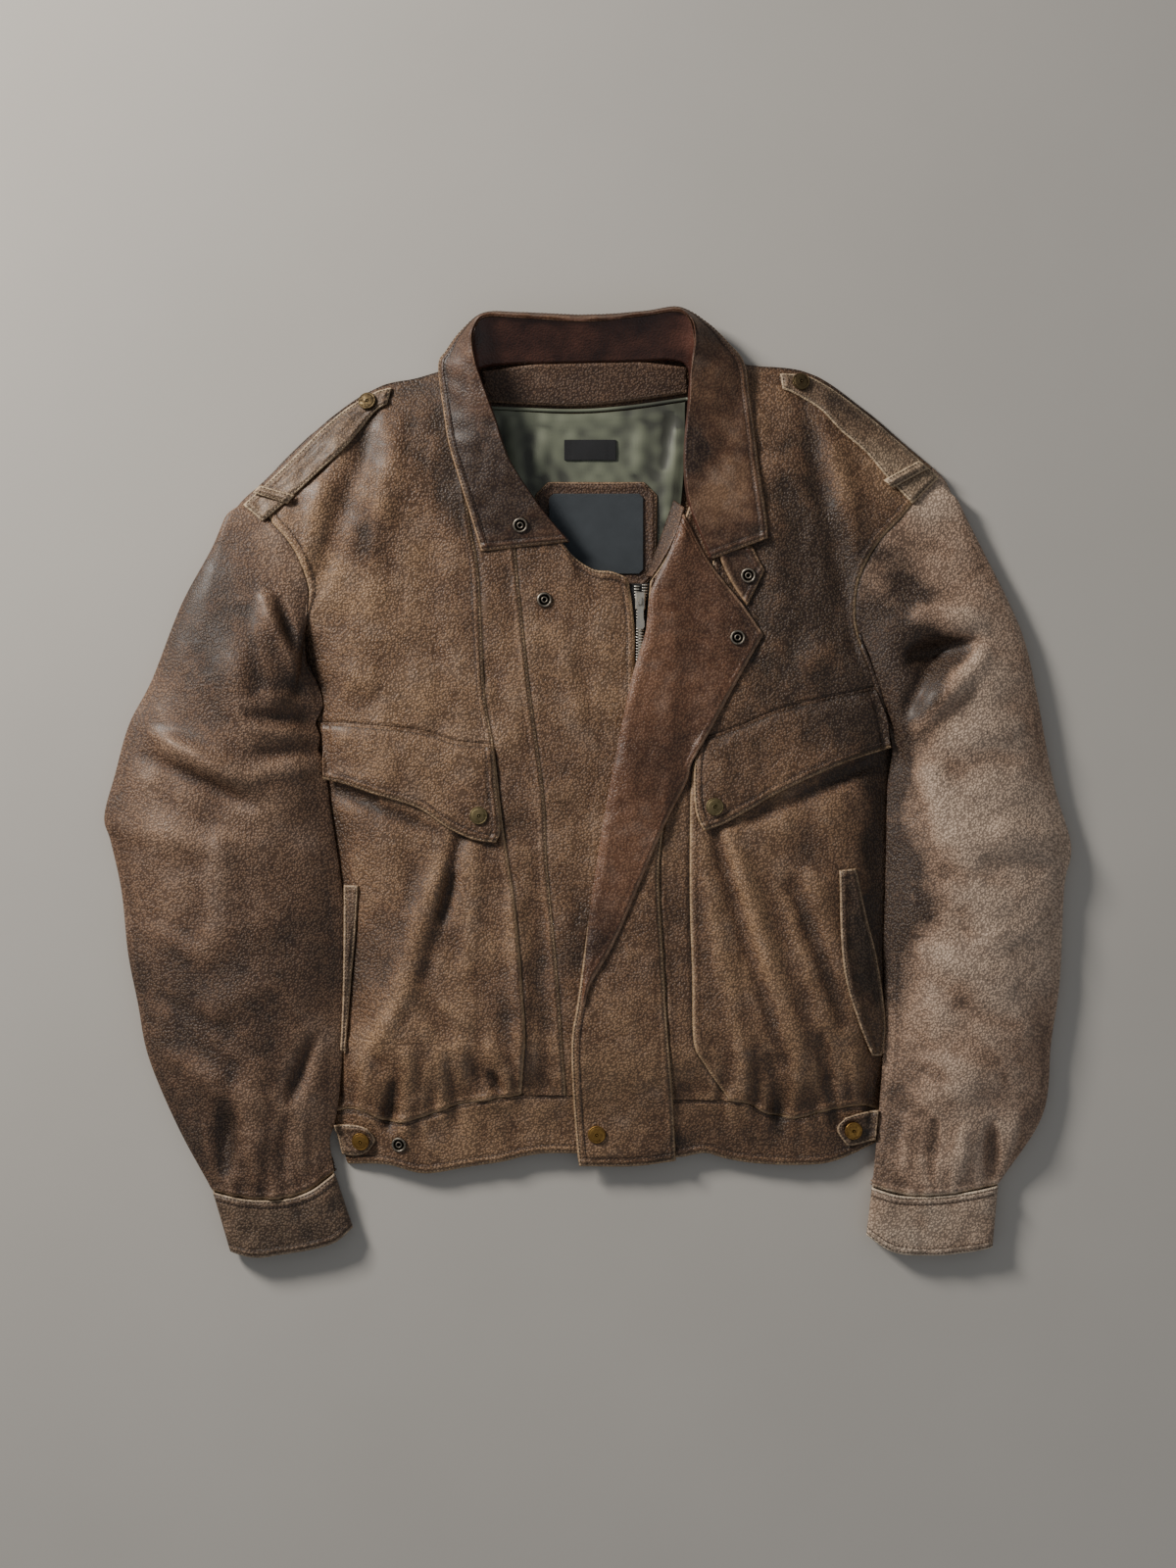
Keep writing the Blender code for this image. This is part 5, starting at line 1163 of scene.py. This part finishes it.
# %% Collar, band and cord
COLLAR = [
    ((-98, 213), (-18, 222, 25), (-16.6, 223, 19)),
    ((-108, 246), (-41, 249, 29), (-39.8, 250, 18)),
    ((-118, 278), (-69, 290, 32), (-67.6, 290.5, 17)),
    ((-128, 312), (-79, 314, 33), (-77.6, 314, 16)),
    ((-132, 336), (-86, 336, 34), (-84.6, 336, 15)),
    ((-138, 384), (-101, 378, 36), (-99.6, 377.5, 14)),
    ((-131, 399), (-106, 402, 37), (-97, 383, 14)),
    ((-117, 417), (-104, 417, 38), (-86, 385, 14)),
    ((-95, 433), (-93, 427, 38), (-74, 386, 14)),
    ((-60, 433), (-60, 426, 38), (-48, 387, 14)),
    ((0, 431), (0, 423, 38), (0, 388, 14)),
    ((50, 434), (50, 428, 38), (45, 389, 14)),
    ((84, 438), (80, 432, 38), (70, 390, 14)),
    ((112, 423), (94, 424, 38), (82, 389, 14)),
    ((130, 406), (98, 404, 37), (89, 386, 14)),
    ((144, 388), (94, 377, 36), (92.6, 377, 15)),
    ((149, 355), (93, 352, 35), (91.6, 352, 16)),
    ((157, 289), (89, 298, 33), (87.6, 298, 17)),
    ((163, 248), (94, 255, 31), (92.6, 254.6, 18)),
    ((165, 225), (114, 206, 28), (112.6, 205.6, 20)),
]
COLLAR_SLACK, COLLAR_ROUNDS = 0.5, 150
FREE_FALL = 24
BAND_TOP = [(-97, 379), (-48, 386.3), (0, 387.4), (45, 388.4), (91, 383)]
BAND_BOTTOM = [(-97, 353), (-17, 349), (34, 353), (93, 361)]
BAND_TOP_Z, BAND_FOOT_Z = 13.4, 5.4
FALL_ROWS = ((0, 0), (0.35, 0.5), (0.7, 0.85), (0.93, 0.985))
STAND_ROWS = (0.3, 1)
COLLAR_BORDERS = {edge: ("turned", DOUBLE_ROW) for edge in ("top", "left", "right")}


def rounded_rows(rows, shares):
    """Rows between a few given rows: a cubic from row to row, for the whole width at once."""
    rows = np.concatenate([2 * rows[:1] - rows[1:2], rows, 2 * rows[-1:] - rows[-2:-1]])
    at = np.clip(shares, 0, len(rows) - 3 - 1e-6)
    low = at.astype(int)
    return cubic(*(rows[low + k] for k in range(4)), (at - low)[:, None, None])


def collar_points():
    """The collar's face over its stations, and a number that is 1 inside the crest."""
    fall, crest, foot = (outline([station[k] for station in COLLAR]) for k in range(3))
    at = spacing(run_of(fall)[-1], step=3.6)
    fall, crest, foot = along(fall, at), along(crest, at), along(foot, at)
    least = np.where(ground_under(fall) > EDGE_TOP + 1, ground_under(fall), 0) + REST_GAP + COLLAR_WALL
    low = least
    for _ in range(COLLAR_ROUNDS):
        low = np.maximum(np.convolve(np.pad(low, 1, mode="edge"), np.full(3, 1 / 3), mode="valid"), least)
    fall = with_height(fall, low)
    rows = [fall + np.array((out, out, lift)) * (crest - fall) for out, lift in FALL_ROWS]
    rows += [crest] + [crest + down * (foot - crest) for down in STAND_ROWS]
    dense = np.r_[np.linspace(0, 0.45, 14, endpoint=False), np.linspace(0.45, 3, 20, endpoint=False),
                  np.linspace(3, 5, 14, endpoint=False), np.linspace(5, 6, 12)]
    inside = np.repeat(soft_step((dense - 3.7) / 0.5)[:, None], len(at), axis=1)
    return rounded_rows(np.array(rows), dense), inside


collar, collar_inside = collar_points()
outside = collar_inside < 0.5
over = np.where(collar[..., 2] < FREE_FALL, ground_under(collar[..., :2]) + REST_GAP + COLLAR_WALL, 0)
sunk = np.where(outside & (over > EDGE_TOP + 3), np.maximum(over - collar[..., 2], 0), 0)
collar[..., 2] += kept_over(sunk, sunk, COLLAR_ROUNDS)
collar[..., 2] += outside * COLLAR_SLACK * unevenness(collar[..., :2], 22, 21)
sew("collar", collar, COLLAR_WALL, leather["collar"], COLLAR_BORDERS, inside=collar_inside)

band_v = np.linspace(0, 1, 12)
band_plan = ruled(BAND_TOP, BAND_BOTTOM, np.linspace(0, 1, 70), band_v)
band_height = np.repeat(BAND_TOP_Z + (BAND_FOOT_Z - BAND_TOP_Z) * band_v[:, None] ** 0.8, 70, axis=1)
sew("neck_band", with_height(band_plan, band_height), WALL, leather["band"],
    {"bottom": ("turned", SINGLE_ROW)}, height=False)
print("collar grid", collar.shape)

# %% [markdown]
# ## Lining and labels
# The lining is olive satin with a green shot, whose long floats shine and fold softly; the shot green is painted
# on the fold ridges as a painted sheen. A woven label and a leather-edged patch are sewn to it. Both are left
# bare, with only their weave and a plain stitched border.

# %% Satin and woven cloth
# Sizes are in metres. Real satin floats are about 0.5 mm wide and real label yarns 0.5 mm apart, and both are
# drawn at about twice that, since they are too fine to show from this far.
SATIN_FLOAT, SATIN_LENGTH = 0.0012, 0.0083
WEAVE_PITCH = 0.0011
PLAIN_NOISE = {"Detail": 2.0, "Roughness": 0.55}


def satin(name, dark, middle, ridge_sheen):
    """Polyester satin: long smooth floats, so a clear soft gleam, and a painted sheen of paler green on fold
    ridges.
    """
    made_material, tree, place = new_material(name, Sheen_Weight=0.3, Sheen_Roughness=0.35, Roughness=0.46)
    cloud = add(tree, "TexNoise", {"Vector": place, "Scale": 1 / 0.09, **PLAIN_NOISE})
    # The fold mark paints the satin lighter on its ridges, a painted sheen, and darker in its troughs, a painted
    # shade.
    fold_shading = add(tree, "Attribute", out="Fac", attribute_name="fold_shading")
    tone = add(tree, "Math", [fold_shading, 0.2, cloud], operation="MULTIPLY_ADD")
    layers = [([("tone", 0.35, 0.55, 0, 1)], middle), ([("tone", 0.55, 0.75, 0, 0.6)], ridge_sheen)]
    stretched = add(tree, "Mapping", {"Vector": place, "Scale": (1 / SATIN_FLOAT, 1 / SATIN_LENGTH, 1.0)})
    threads = add(tree, "TexNoise", {"Vector": stretched, "Scale": 1.0, "Detail": 2.0})
    bump = add(tree, "Bump", {"Height": threads, "Strength": 0.25, "Distance": 0.0002})
    return finished(made_material, Base_Color=layered(tree, {"tone": tone}, dark, layers), Normal=bump)


def woven(name, ground_colour, thread_colour):
    """Label cloth of fine yarns over and under, rubbed pale in patches."""
    made_material, tree, place = new_material(name, Roughness=0.8, Sheen_Weight=0.2)
    sockets = {"Vector": add(tree, "UVMap", uv_map="UVMap"), "Scale": 1 / WEAVE_PITCH / 2}
    bands = [add(tree, "TexWave", sockets, "Fac", bands_direction=way) for way in "XY"]
    weave = add(tree, "Math", bands, operation="MULTIPLY")
    wear = add(tree, "TexNoise", {"Vector": place, "Scale": 1 / 0.02, "Detail": 4.0, "Roughness": 0.55})
    layers = [([("weave", 0, 1, 0, 1), ("wear", 0.3, 0.8, 0, 1)], thread_colour)]
    bump = add(tree, "Bump", {"Height": weave, "Strength": 0.5, "Distance": 0.0003})
    colour = layered(tree, {"weave": weave, "wear": wear}, ground_colour, layers)
    return finished(made_material, Base_Color=colour, Normal=bump)


# The last green is the painted sheen on the fold ridges.
LINING_SATIN = satin("olive_satin_lining", "#484A42", "#737866", "#979B86")
SLATE_CLOTH = woven("slate_label_cloth", "#33393E", "#5C646B")
BLACK_CLOTH = woven("black_label_cloth", "#101114", "#34363C")
TAPE_CLOTH = woven("black_zip_tape", "#0E0E0F", "#2A2A2B")
print("materials so far", len(bpy.data.materials))

# %% Lining and labels
LINING = {
    "top": [(-93, 346), (-17, 342), (34, 345), (90, 353)], "bottom": [(-66, 150), (0, 140), (74, 150)],
    "left": [(-93, 346), (-84, 280), (-66, 150)], "right": [(90, 353), (88, 280), (74, 150)],
}
LABEL_SMALL = {"x": (-22, 26), "y": (299, 318), "chamfer": 0.5}
LABEL_PATCH = {"x": (-49, 64), "y": (182, 279), "chamfer": 12}
LABEL_CLOTH = {"x": (-36, 51), "y": (194, 268), "chamfer": 4}
LINING_FOLDS = [
    ((-70, 340), (-60, 240), 9, 2.6), ((-78, 300), (-66, 200), 8, -2.0), ((82, 330), (72, 240), 9, 2.6),
    ((76, 345), (70, 290), 7, -2.0), ((-40, 330), (-46, 285), 8, 2.0), ((50, 335), (44, 285), 8, 2.0),
    ((-90, 335), (80, 340), 6, 0.9), ((0, 325), (10, 285), 12, 0.8),
]
LINING_TOP = 4.4
LINING_SLACK, LINING_SLACK_SIZE, LINING_SEED = 0.25, 14, 31
LABEL_GAP = 0.3
LABEL_STEP = 3


def sew_label(name, shape, wall, material, borders=None):
    """Sew a label on what lies below it. Its corners are cut off, so its rows narrow towards both ends."""
    (x0, x1), (y0, y1), cut = shape["x"], shape["y"], shape["chamfer"]
    u, v = spacing(x1 - x0, LABEL_STEP), spacing(y1 - y0, LABEL_STEP)
    y = (y1 - (y1 - y0) * v)[:, None]
    narrow = np.maximum(0, cut - np.minimum(y1 - y, y - y0))
    x = (x0 + narrow) * (1 - u) + (x1 - narrow) * u
    plan = np.stack([x, np.repeat(y, len(u), axis=1)], axis=-1)
    low = ground_under(plan) + LABEL_GAP
    sew(name, with_height(plan, kept_over(low, low, 60) + wall), wall, material, borders)


front_ground = ground.copy()
ground[:] = 0
lining_plan = four_sided(LINING, LABEL_STEP)
lining_height = LINING_TOP + fold_relief(lining_plan, LINING_FOLDS)
lining_height += LINING_SLACK * unevenness(lining_plan, LINING_SLACK_SIZE, LINING_SEED)
sew("lining", with_height(lining_plan, lining_height), LINING_WALL, LINING_SATIN)
sew_label("label_small", LABEL_SMALL, LINING_WALL, BLACK_CLOTH)
sew_label("label_patch", LABEL_PATCH, TRIM_WALL, leather["band"], ALL_TURNED)
sew_label("label_cloth", LABEL_CLOTH, LINING_WALL, SLATE_CLOTH)
ground[:] = np.maximum(ground, front_ground)
print("lining", made["lining"]["flat"], "m")

# %% [markdown]
# ## Small solid pieces
# The cord under the neck band, the snaps and the sockets are round things: a profile turned about an axis or
# carried along a line. A closed mesh comes from rings of points with one point at each pole.

# %% Turned and swept forms
def signed_volume(points, faces):
    """A closed mesh's volume: a sixth of the sum over its triangles of their corners' triple product."""
    triangles = [(f[0], f[k], f[k + 1]) for f in faces for k in range(1, len(f) - 1)]
    a, b, c = np.moveaxis(points[np.array(triangles)], 1, 0)
    return (np.cross(a, b) * c).sum() / 6


def ring_mesh(name, rings, poles):
    """A closed mesh from rings of points, with a pole before the first and after the last."""
    count, turns = rings.shape[:2]
    points = np.concatenate([rings.reshape(-1, 3), poles]) * MM
    faces = grid_faces(count, turns, True)[:, ::-1].tolist()
    step = np.arange(turns)
    after = (step + 1) % turns
    start, pole = (count - 1) * turns, count * turns
    faces += np.column_stack([step, after, np.full(turns, pole)]).tolist()
    faces += np.column_stack([start + after, start + step, np.full(turns, pole + 1)]).tolist()
    mesh = bpy.data.meshes.new(name)
    mesh.from_pydata(points.tolist(), [], faces)
    if signed_volume(points, faces) < 0:
        mesh.flip_normals()
    mesh.shade_smooth()
    return mesh


def circle(count):
    """The cosines and sines of even turns round a circle."""
    turn = np.linspace(0, 2 * np.pi, count, endpoint=False)
    return np.cos(turn), np.sin(turn)


PIPING_LINE = [(-95, 348), (-17, 345), (34, 348), (92, 356)]
PIPING_RADIUS, PIPING_Z, PIPING_TURNS, PIPING_STATIONS = 1.6, 4.0, 12, 90

cord_line = along(outline(PIPING_LINE), np.linspace(0, 1, PIPING_STATIONS))
cord_way = unit(np.gradient(cord_line, axis=0))
cord_side = np.column_stack([-cord_way[:, 1], cord_way[:, 0]])
cosine, sine = circle(PIPING_TURNS)
cord_plan = cord_line[:, None] + cord_side[:, None] * (PIPING_RADIUS * cosine)[None, :, None]
cord_height = np.repeat([PIPING_Z + PIPING_RADIUS * sine], PIPING_STATIONS, axis=0)
cord_ends = [(*cord_line[end], PIPING_Z) for end in (0, -1)]
cord = ring_mesh("lining_piping", with_height(cord_plan, cord_height), cord_ends)
put("worn_lining_piping", cord, LINING_SATIN, stands_for=["lining_piping"])
print("cord", round(run_of(cord_line)[-1]), "mm long")

# %% [markdown]
# ## Topstitching
# Waxed nylon thread, eight stitches to 28 mm. Each stitch is a short capsule of a few dozen faces, turned along
# its row and sunk a little into the leather. All stitches are one mesh, made from arrays: a row is found at a
# set distance from a border, cut to the stitch's pitch, and the capsule is laid at each cut.

# %% Stitches
PITCH = 3.5
STITCH_RINGS = np.array([(-1.25, 0.16), (-0.85, 0.36), (0.0, 0.42), (0.85, 0.36), (1.25, 0.16)])
STITCH_SIDES = 5
STITCH_RISE = 0.12
FLOOR_CLEAR = 0.45


def capsule(rings, sides):
    """A capsule's points and faces: circles of the given radii along X, closed by a face at each end."""
    cosine, sine = circle(sides)
    points = np.stack([
        np.repeat(rings[:, :1], sides, axis=1), rings[:, 1:] * cosine, rings[:, 1:] * sine,
    ], axis=-1).reshape(-1, 3)
    quads = grid_faces(len(rings), sides, True)[:, ::-1].tolist()
    return points, quads + [list(range(sides))[::-1], list(range(len(points) - sides, len(points)))]


def row_on(points, side, offset):
    """The line on a grid at a distance from one border, and the direction across it."""
    grid = {"top": points, "bottom": points[::-1], "left": points.swapaxes(0, 1),
            "right": points[:, ::-1].swapaxes(0, 1)}[side]
    run = border_distances(grid)["top"]
    low = np.clip((run < offset).sum(axis=0) - 1, 0, len(run) - 2)
    columns = np.arange(grid.shape[1])
    share = (offset - run[low, columns]) / np.maximum(run[low + 1, columns] - run[low, columns], 1e-6)
    start, end = grid[low, columns], grid[low + 1, columns]
    return start + share[:, None] * (end - start), end - start


def laid_along(line, across, pitch, bare):
    """Places, ways, sides and normals at even steps along a line, with its ends left bare."""
    length = run_of(line)[-1]
    at = (bare + (np.arange(max(0, int((length - 2 * bare) / pitch))) + 0.5) * pitch) / length
    nearby = 0.1 * pitch / length
    way = unit(along(line, at + nearby) - along(line, at - nearby))
    shares = run_of(line) / length
    normal = unit(np.cross(way, np.column_stack([np.interp(at, shares, across[:, k]) for k in range(3)])))
    normal *= np.where(normal[:, 2:] < 0, -1, 1)
    return along(line, at), way, unit(np.cross(normal, way)), normal


def many(name, shape, frames, rise):
    """One mesh of a small form laid at many places: its X along the way, its Y to the side, its Z up."""
    form, faces = shape
    place, way, side, normal = (np.concatenate(part) for part in zip(*frames))
    points = place[:, None] + rise * normal[:, None]
    for k, axis in enumerate((way, side, normal)):
        points = points + form[None, :, k:k + 1] * axis[:, None]
    start = np.arange(len(place))[:, None] * len(form)
    every = [corners for face in faces for corners in (start + np.array(face)).tolist()]
    mesh = bpy.data.meshes.new(name)
    mesh.from_pydata((points.reshape(-1, 3) * MM).tolist(), [], every)
    mesh.shade_smooth()
    return mesh


stitch_frames = [
    laid_along(*row_on(piece["points"], side, row), PITCH, row)
    for piece in made.values() for side, (_, rows) in piece["borders"].items() for row in rows
]
stitch_frames = [stitch_frame for stitch_frame in stitch_frames if len(stitch_frame[0]) > 1]
for place, *_ in stitch_frames:
    place[:, 2] = np.maximum(place[:, 2], FLOOR_CLEAR)
thread = clouded("waxed_nylon_thread", 0.03, 3.0, "#241711", "#5A4231", Roughness=0.5, Sheen_Weight=0.2)
stitches = many("topstitching", capsule(STITCH_RINGS, STITCH_SIDES), stitch_frames, STITCH_RISE)
put("topstitching", stitches, thread)
print("stitches", sum(len(place) for place, *_ in stitch_frames))

# %% [markdown]
# ## Snaps and sockets
# The caps are drawn brass, antiqued: dark in the recesses and rubbed bright on the dome. The sockets are
# gunmetal-plated rings round a spring, and the hollow between them is drawn darker. Each is a profile turned
# about its axis and stood on the ground map, leaning as the leather leans there.

# %% Metals
# Sizes are in metres. Tarnish lies in patches of about 3 mm. Real scratches are far finer than the 0.6 mm that
# is drawn here, and would not show.
TARNISH = 0.003
SCRATCH = 0.0006


def worn_metal(name, bright, dull, gloss):
    """Plated metal, tarnished in patches and darker in its recesses: its colour and gloss vary together."""
    made_material, tree, place = new_material(name, Metallic=1.0)
    sockets = {"Vector": place, "Scale": 1 / TARNISH, "Detail": 5.0, "Roughness": 0.7}
    values = {"tarnish": add(tree, "TexNoise", sockets),
              "recess": add(tree, "Attribute", out="Fac", attribute_name="recess")}
    layers = [([("tarnish", 0.38, 0.66, 0, 1)], dull), ([("recess", 0, 1, 0, 1)], "#17130F")]
    rough = add(tree, "MapRange", [values["tarnish"], 0.38, 0.66, gloss, gloss + 0.28])
    scratches = add(tree, "TexNoise", {"Vector": place, "Scale": 1 / SCRATCH, "Detail": 3.0, "Roughness": 0.55})
    bump = add(tree, "Bump", {"Height": scratches, "Strength": 0.2, "Distance": 0.0001})
    colour = layered(tree, values, bright, layers)
    return finished(made_material, Base_Color=colour, Roughness=rough, Normal=bump)


ANTIQUE_BRASS = worn_metal("antique_brass_cap", "#B08A4C", "#6E5230", 0.40)
DULL_BRASS = worn_metal("tarnished_brass_cap", "#8F8060", "#565037", 0.46)
DARK_BRASS = worn_metal("darkened_brass_cap", "#6E5F45", "#3A3024", 0.46)
GUNMETAL = worn_metal("gunmetal_socket", "#B4AA9B", "#4E4840", 0.38)
NICKEL = worn_metal("nickel_plated_zip", "#E6E2D8", "#B5AFA2", 0.34)
print("materials so far", len(bpy.data.materials))

# %% Snap caps and sockets
CAP_PROFILE = [(1.5, 2.34), (3.5, 2.28), (5.2, 2.16), (6.2, 2.0), (6.6, 1.78), (6.85, 1.72), (7.1, 1.86),
               (7.5, 1.98), (7.9, 1.84), (8.2, 1.4), (8.25, 0.8), (8.1, 0.3), (7.9, 0.0)]
SOCKET_PROFILE = [(1.3, 0.3), (1.7, 0.4), (1.9, 1.5), (2.4, 1.8), (2.9, 1.5), (3.1, 0.5), (4.7, 0.45), (5.0, 1.6),
                  (5.4, 2.1), (6.0, 2.2), (6.5, 1.9), (6.9, 1.2), (7.1, 0.5), (7.1, 0.0)]
CAP_TOP, SOCKET_FLOOR, SOCKET_HOLLOW = 2.36, 0.25, 0.9
TURN_STEPS = 40
CAP_FINISH = {"snap_fly": ANTIQUE_BRASS, "snap_tab_right": ANTIQUE_BRASS, "snap_tab_left": ANTIQUE_BRASS,
              "snap_epaulette_right": DARK_BRASS, "snap_epaulette_left": DARK_BRASS}
LEAN_TURNS = 16


def stood(profile, top, x, y):
    """A profile turned about Z, moved to a place on the ground map and leant as a plane fitted to it leans."""
    radii, heights = np.array(profile).T[..., None]
    cosine, sine = circle(TURN_STEPS)
    rings = np.stack([radii * cosine, radii * sine, np.repeat(heights, TURN_STEPS, axis=1)], axis=-1)
    round_it = np.stack(circle(LEAN_TURNS), axis=-1)
    spots = np.concatenate([away * round_it for away in (0.02, 0.5 * radii.max(), radii.max())])
    ground_heights = ground_under(spots + (x, y))
    lean = np.linalg.lstsq(np.column_stack([spots, np.ones(len(spots))]), ground_heights, rcond=None)[0]
    up = unit(np.array([-lean[0], -lean[1], 1.0]))
    right = unit(np.cross((0, 1, 0), up))
    axes = np.stack([right, np.cross(up, right), up])
    base = np.array([x, y, np.percentile(ground_heights - spots @ lean[:2], 80)])
    return rings @ axes + base, np.array([(0, 0, top), (0, 0, 0)]) @ axes + base


ROUND_PLACES = {name: [(a + b) / 2 / MM for a, b in zip(*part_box(name))][:2]
                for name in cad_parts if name.startswith(("snap_", "socket_"))}
for name, (x, y) in ROUND_PLACES.items():
    cap = name.startswith("snap_")
    profile, top = (CAP_PROFILE, CAP_TOP) if cap else (SOCKET_PROFILE, SOCKET_FLOOR)
    mesh = ring_mesh(name, *stood(profile, top, x, y))
    low = [not cap and level <= SOCKET_HOLLOW for _, level in profile]
    add_marks(mesh, {"recess": np.r_[np.repeat(low, TURN_STEPS), not cap, False]})
    put("worn_" + name, mesh, CAP_FINISH.get(name, DULL_BRASS) if cap else GUNMETAL, stands_for=[name])
print("caps and sockets", len(ROUND_PLACES))

# %% [markdown]
# ## Zip
# A coarse metal zip runs under the fly: black cotton tape, and nickel teeth that mesh below the slider and part
# above it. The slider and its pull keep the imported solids, whose shapes are right, and get the plated metal.

# %% Tape, teeth, slider and pull
ZIP_LINE = [(48.5, 184), (48, 150), (47.5, 104), (47.5, 0), (47.5, -344)]
TAPE_HALF = 12
TAPE_SHARES = np.array([-1, -0.8, -0.5, -0.25, -0.1, 0, 0.1, 0.25, 0.5, 0.8, 1])
TAPE_DROP = 2.9
TOOTH_PITCH = 2.6
TOOTH_RINGS = np.array([(-2.6, 0.55), (-2.3, 0.85), (0.6, 0.85), (1.3, 0.6), (2.0, 0.75), (2.4, 0.5)])
TOOTH_SIDES = 6
TOOTH_RISE, TOOTH_HALF = 0.75, 1.1
FIRST_TOOTH, LAST_TOOTH = -336, 182
MEET_Y, PART_REACH, PART_GAP = 162, 14, 2.4

zip_line = along(outline(ZIP_LINE), spacing(run_of(outline(ZIP_LINE))[-1]))
tape_plan = zip_line[:, None] + np.stack([TAPE_HALF * TAPE_SHARES, 0 * TAPE_SHARES], axis=-1)[None]
sew("zip_tape", with_height(tape_plan, front_height(tape_plan) - TAPE_DROP), LINING_WALL, TAPE_CLOTH)

tooth_y = np.arange(FIRST_TOOTH, LAST_TOOTH, TOOTH_PITCH)
tooth_x = np.interp(tooth_y, *np.array(ZIP_LINE[::-1]).T[::-1])
teeth = []
for hand in (-1, 1):
    y = tooth_y + (hand > 0) * TOOTH_PITCH / 2
    x = tooth_x + hand * (TOOTH_HALF + PART_GAP * soft_step((y - MEET_Y) / PART_REACH))
    plan = np.column_stack([x, y])
    way, up = (np.repeat([axis], len(y), axis=0) for axis in ((-hand, 0.0, 0.0), (0.0, 0.0, 1.0)))
    teeth.append((with_height(plan, front_height(plan) - TAPE_DROP + TOOTH_RISE), way, np.cross(up, way), up))
put("zip_teeth", many("zip_teeth", capsule(TOOTH_RINGS, TOOTH_SIDES), teeth, 0.0), NICKEL)
for name in ("zip_slider", "zip_pull"):
    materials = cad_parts[name].data.materials
    materials.clear()
    materials.append(NICKEL)
print("teeth", 2 * len(tooth_y))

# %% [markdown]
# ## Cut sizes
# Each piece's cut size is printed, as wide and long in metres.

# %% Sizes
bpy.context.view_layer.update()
for name, piece in made.items():
    print(name, "cut from", piece["flat"], "m")
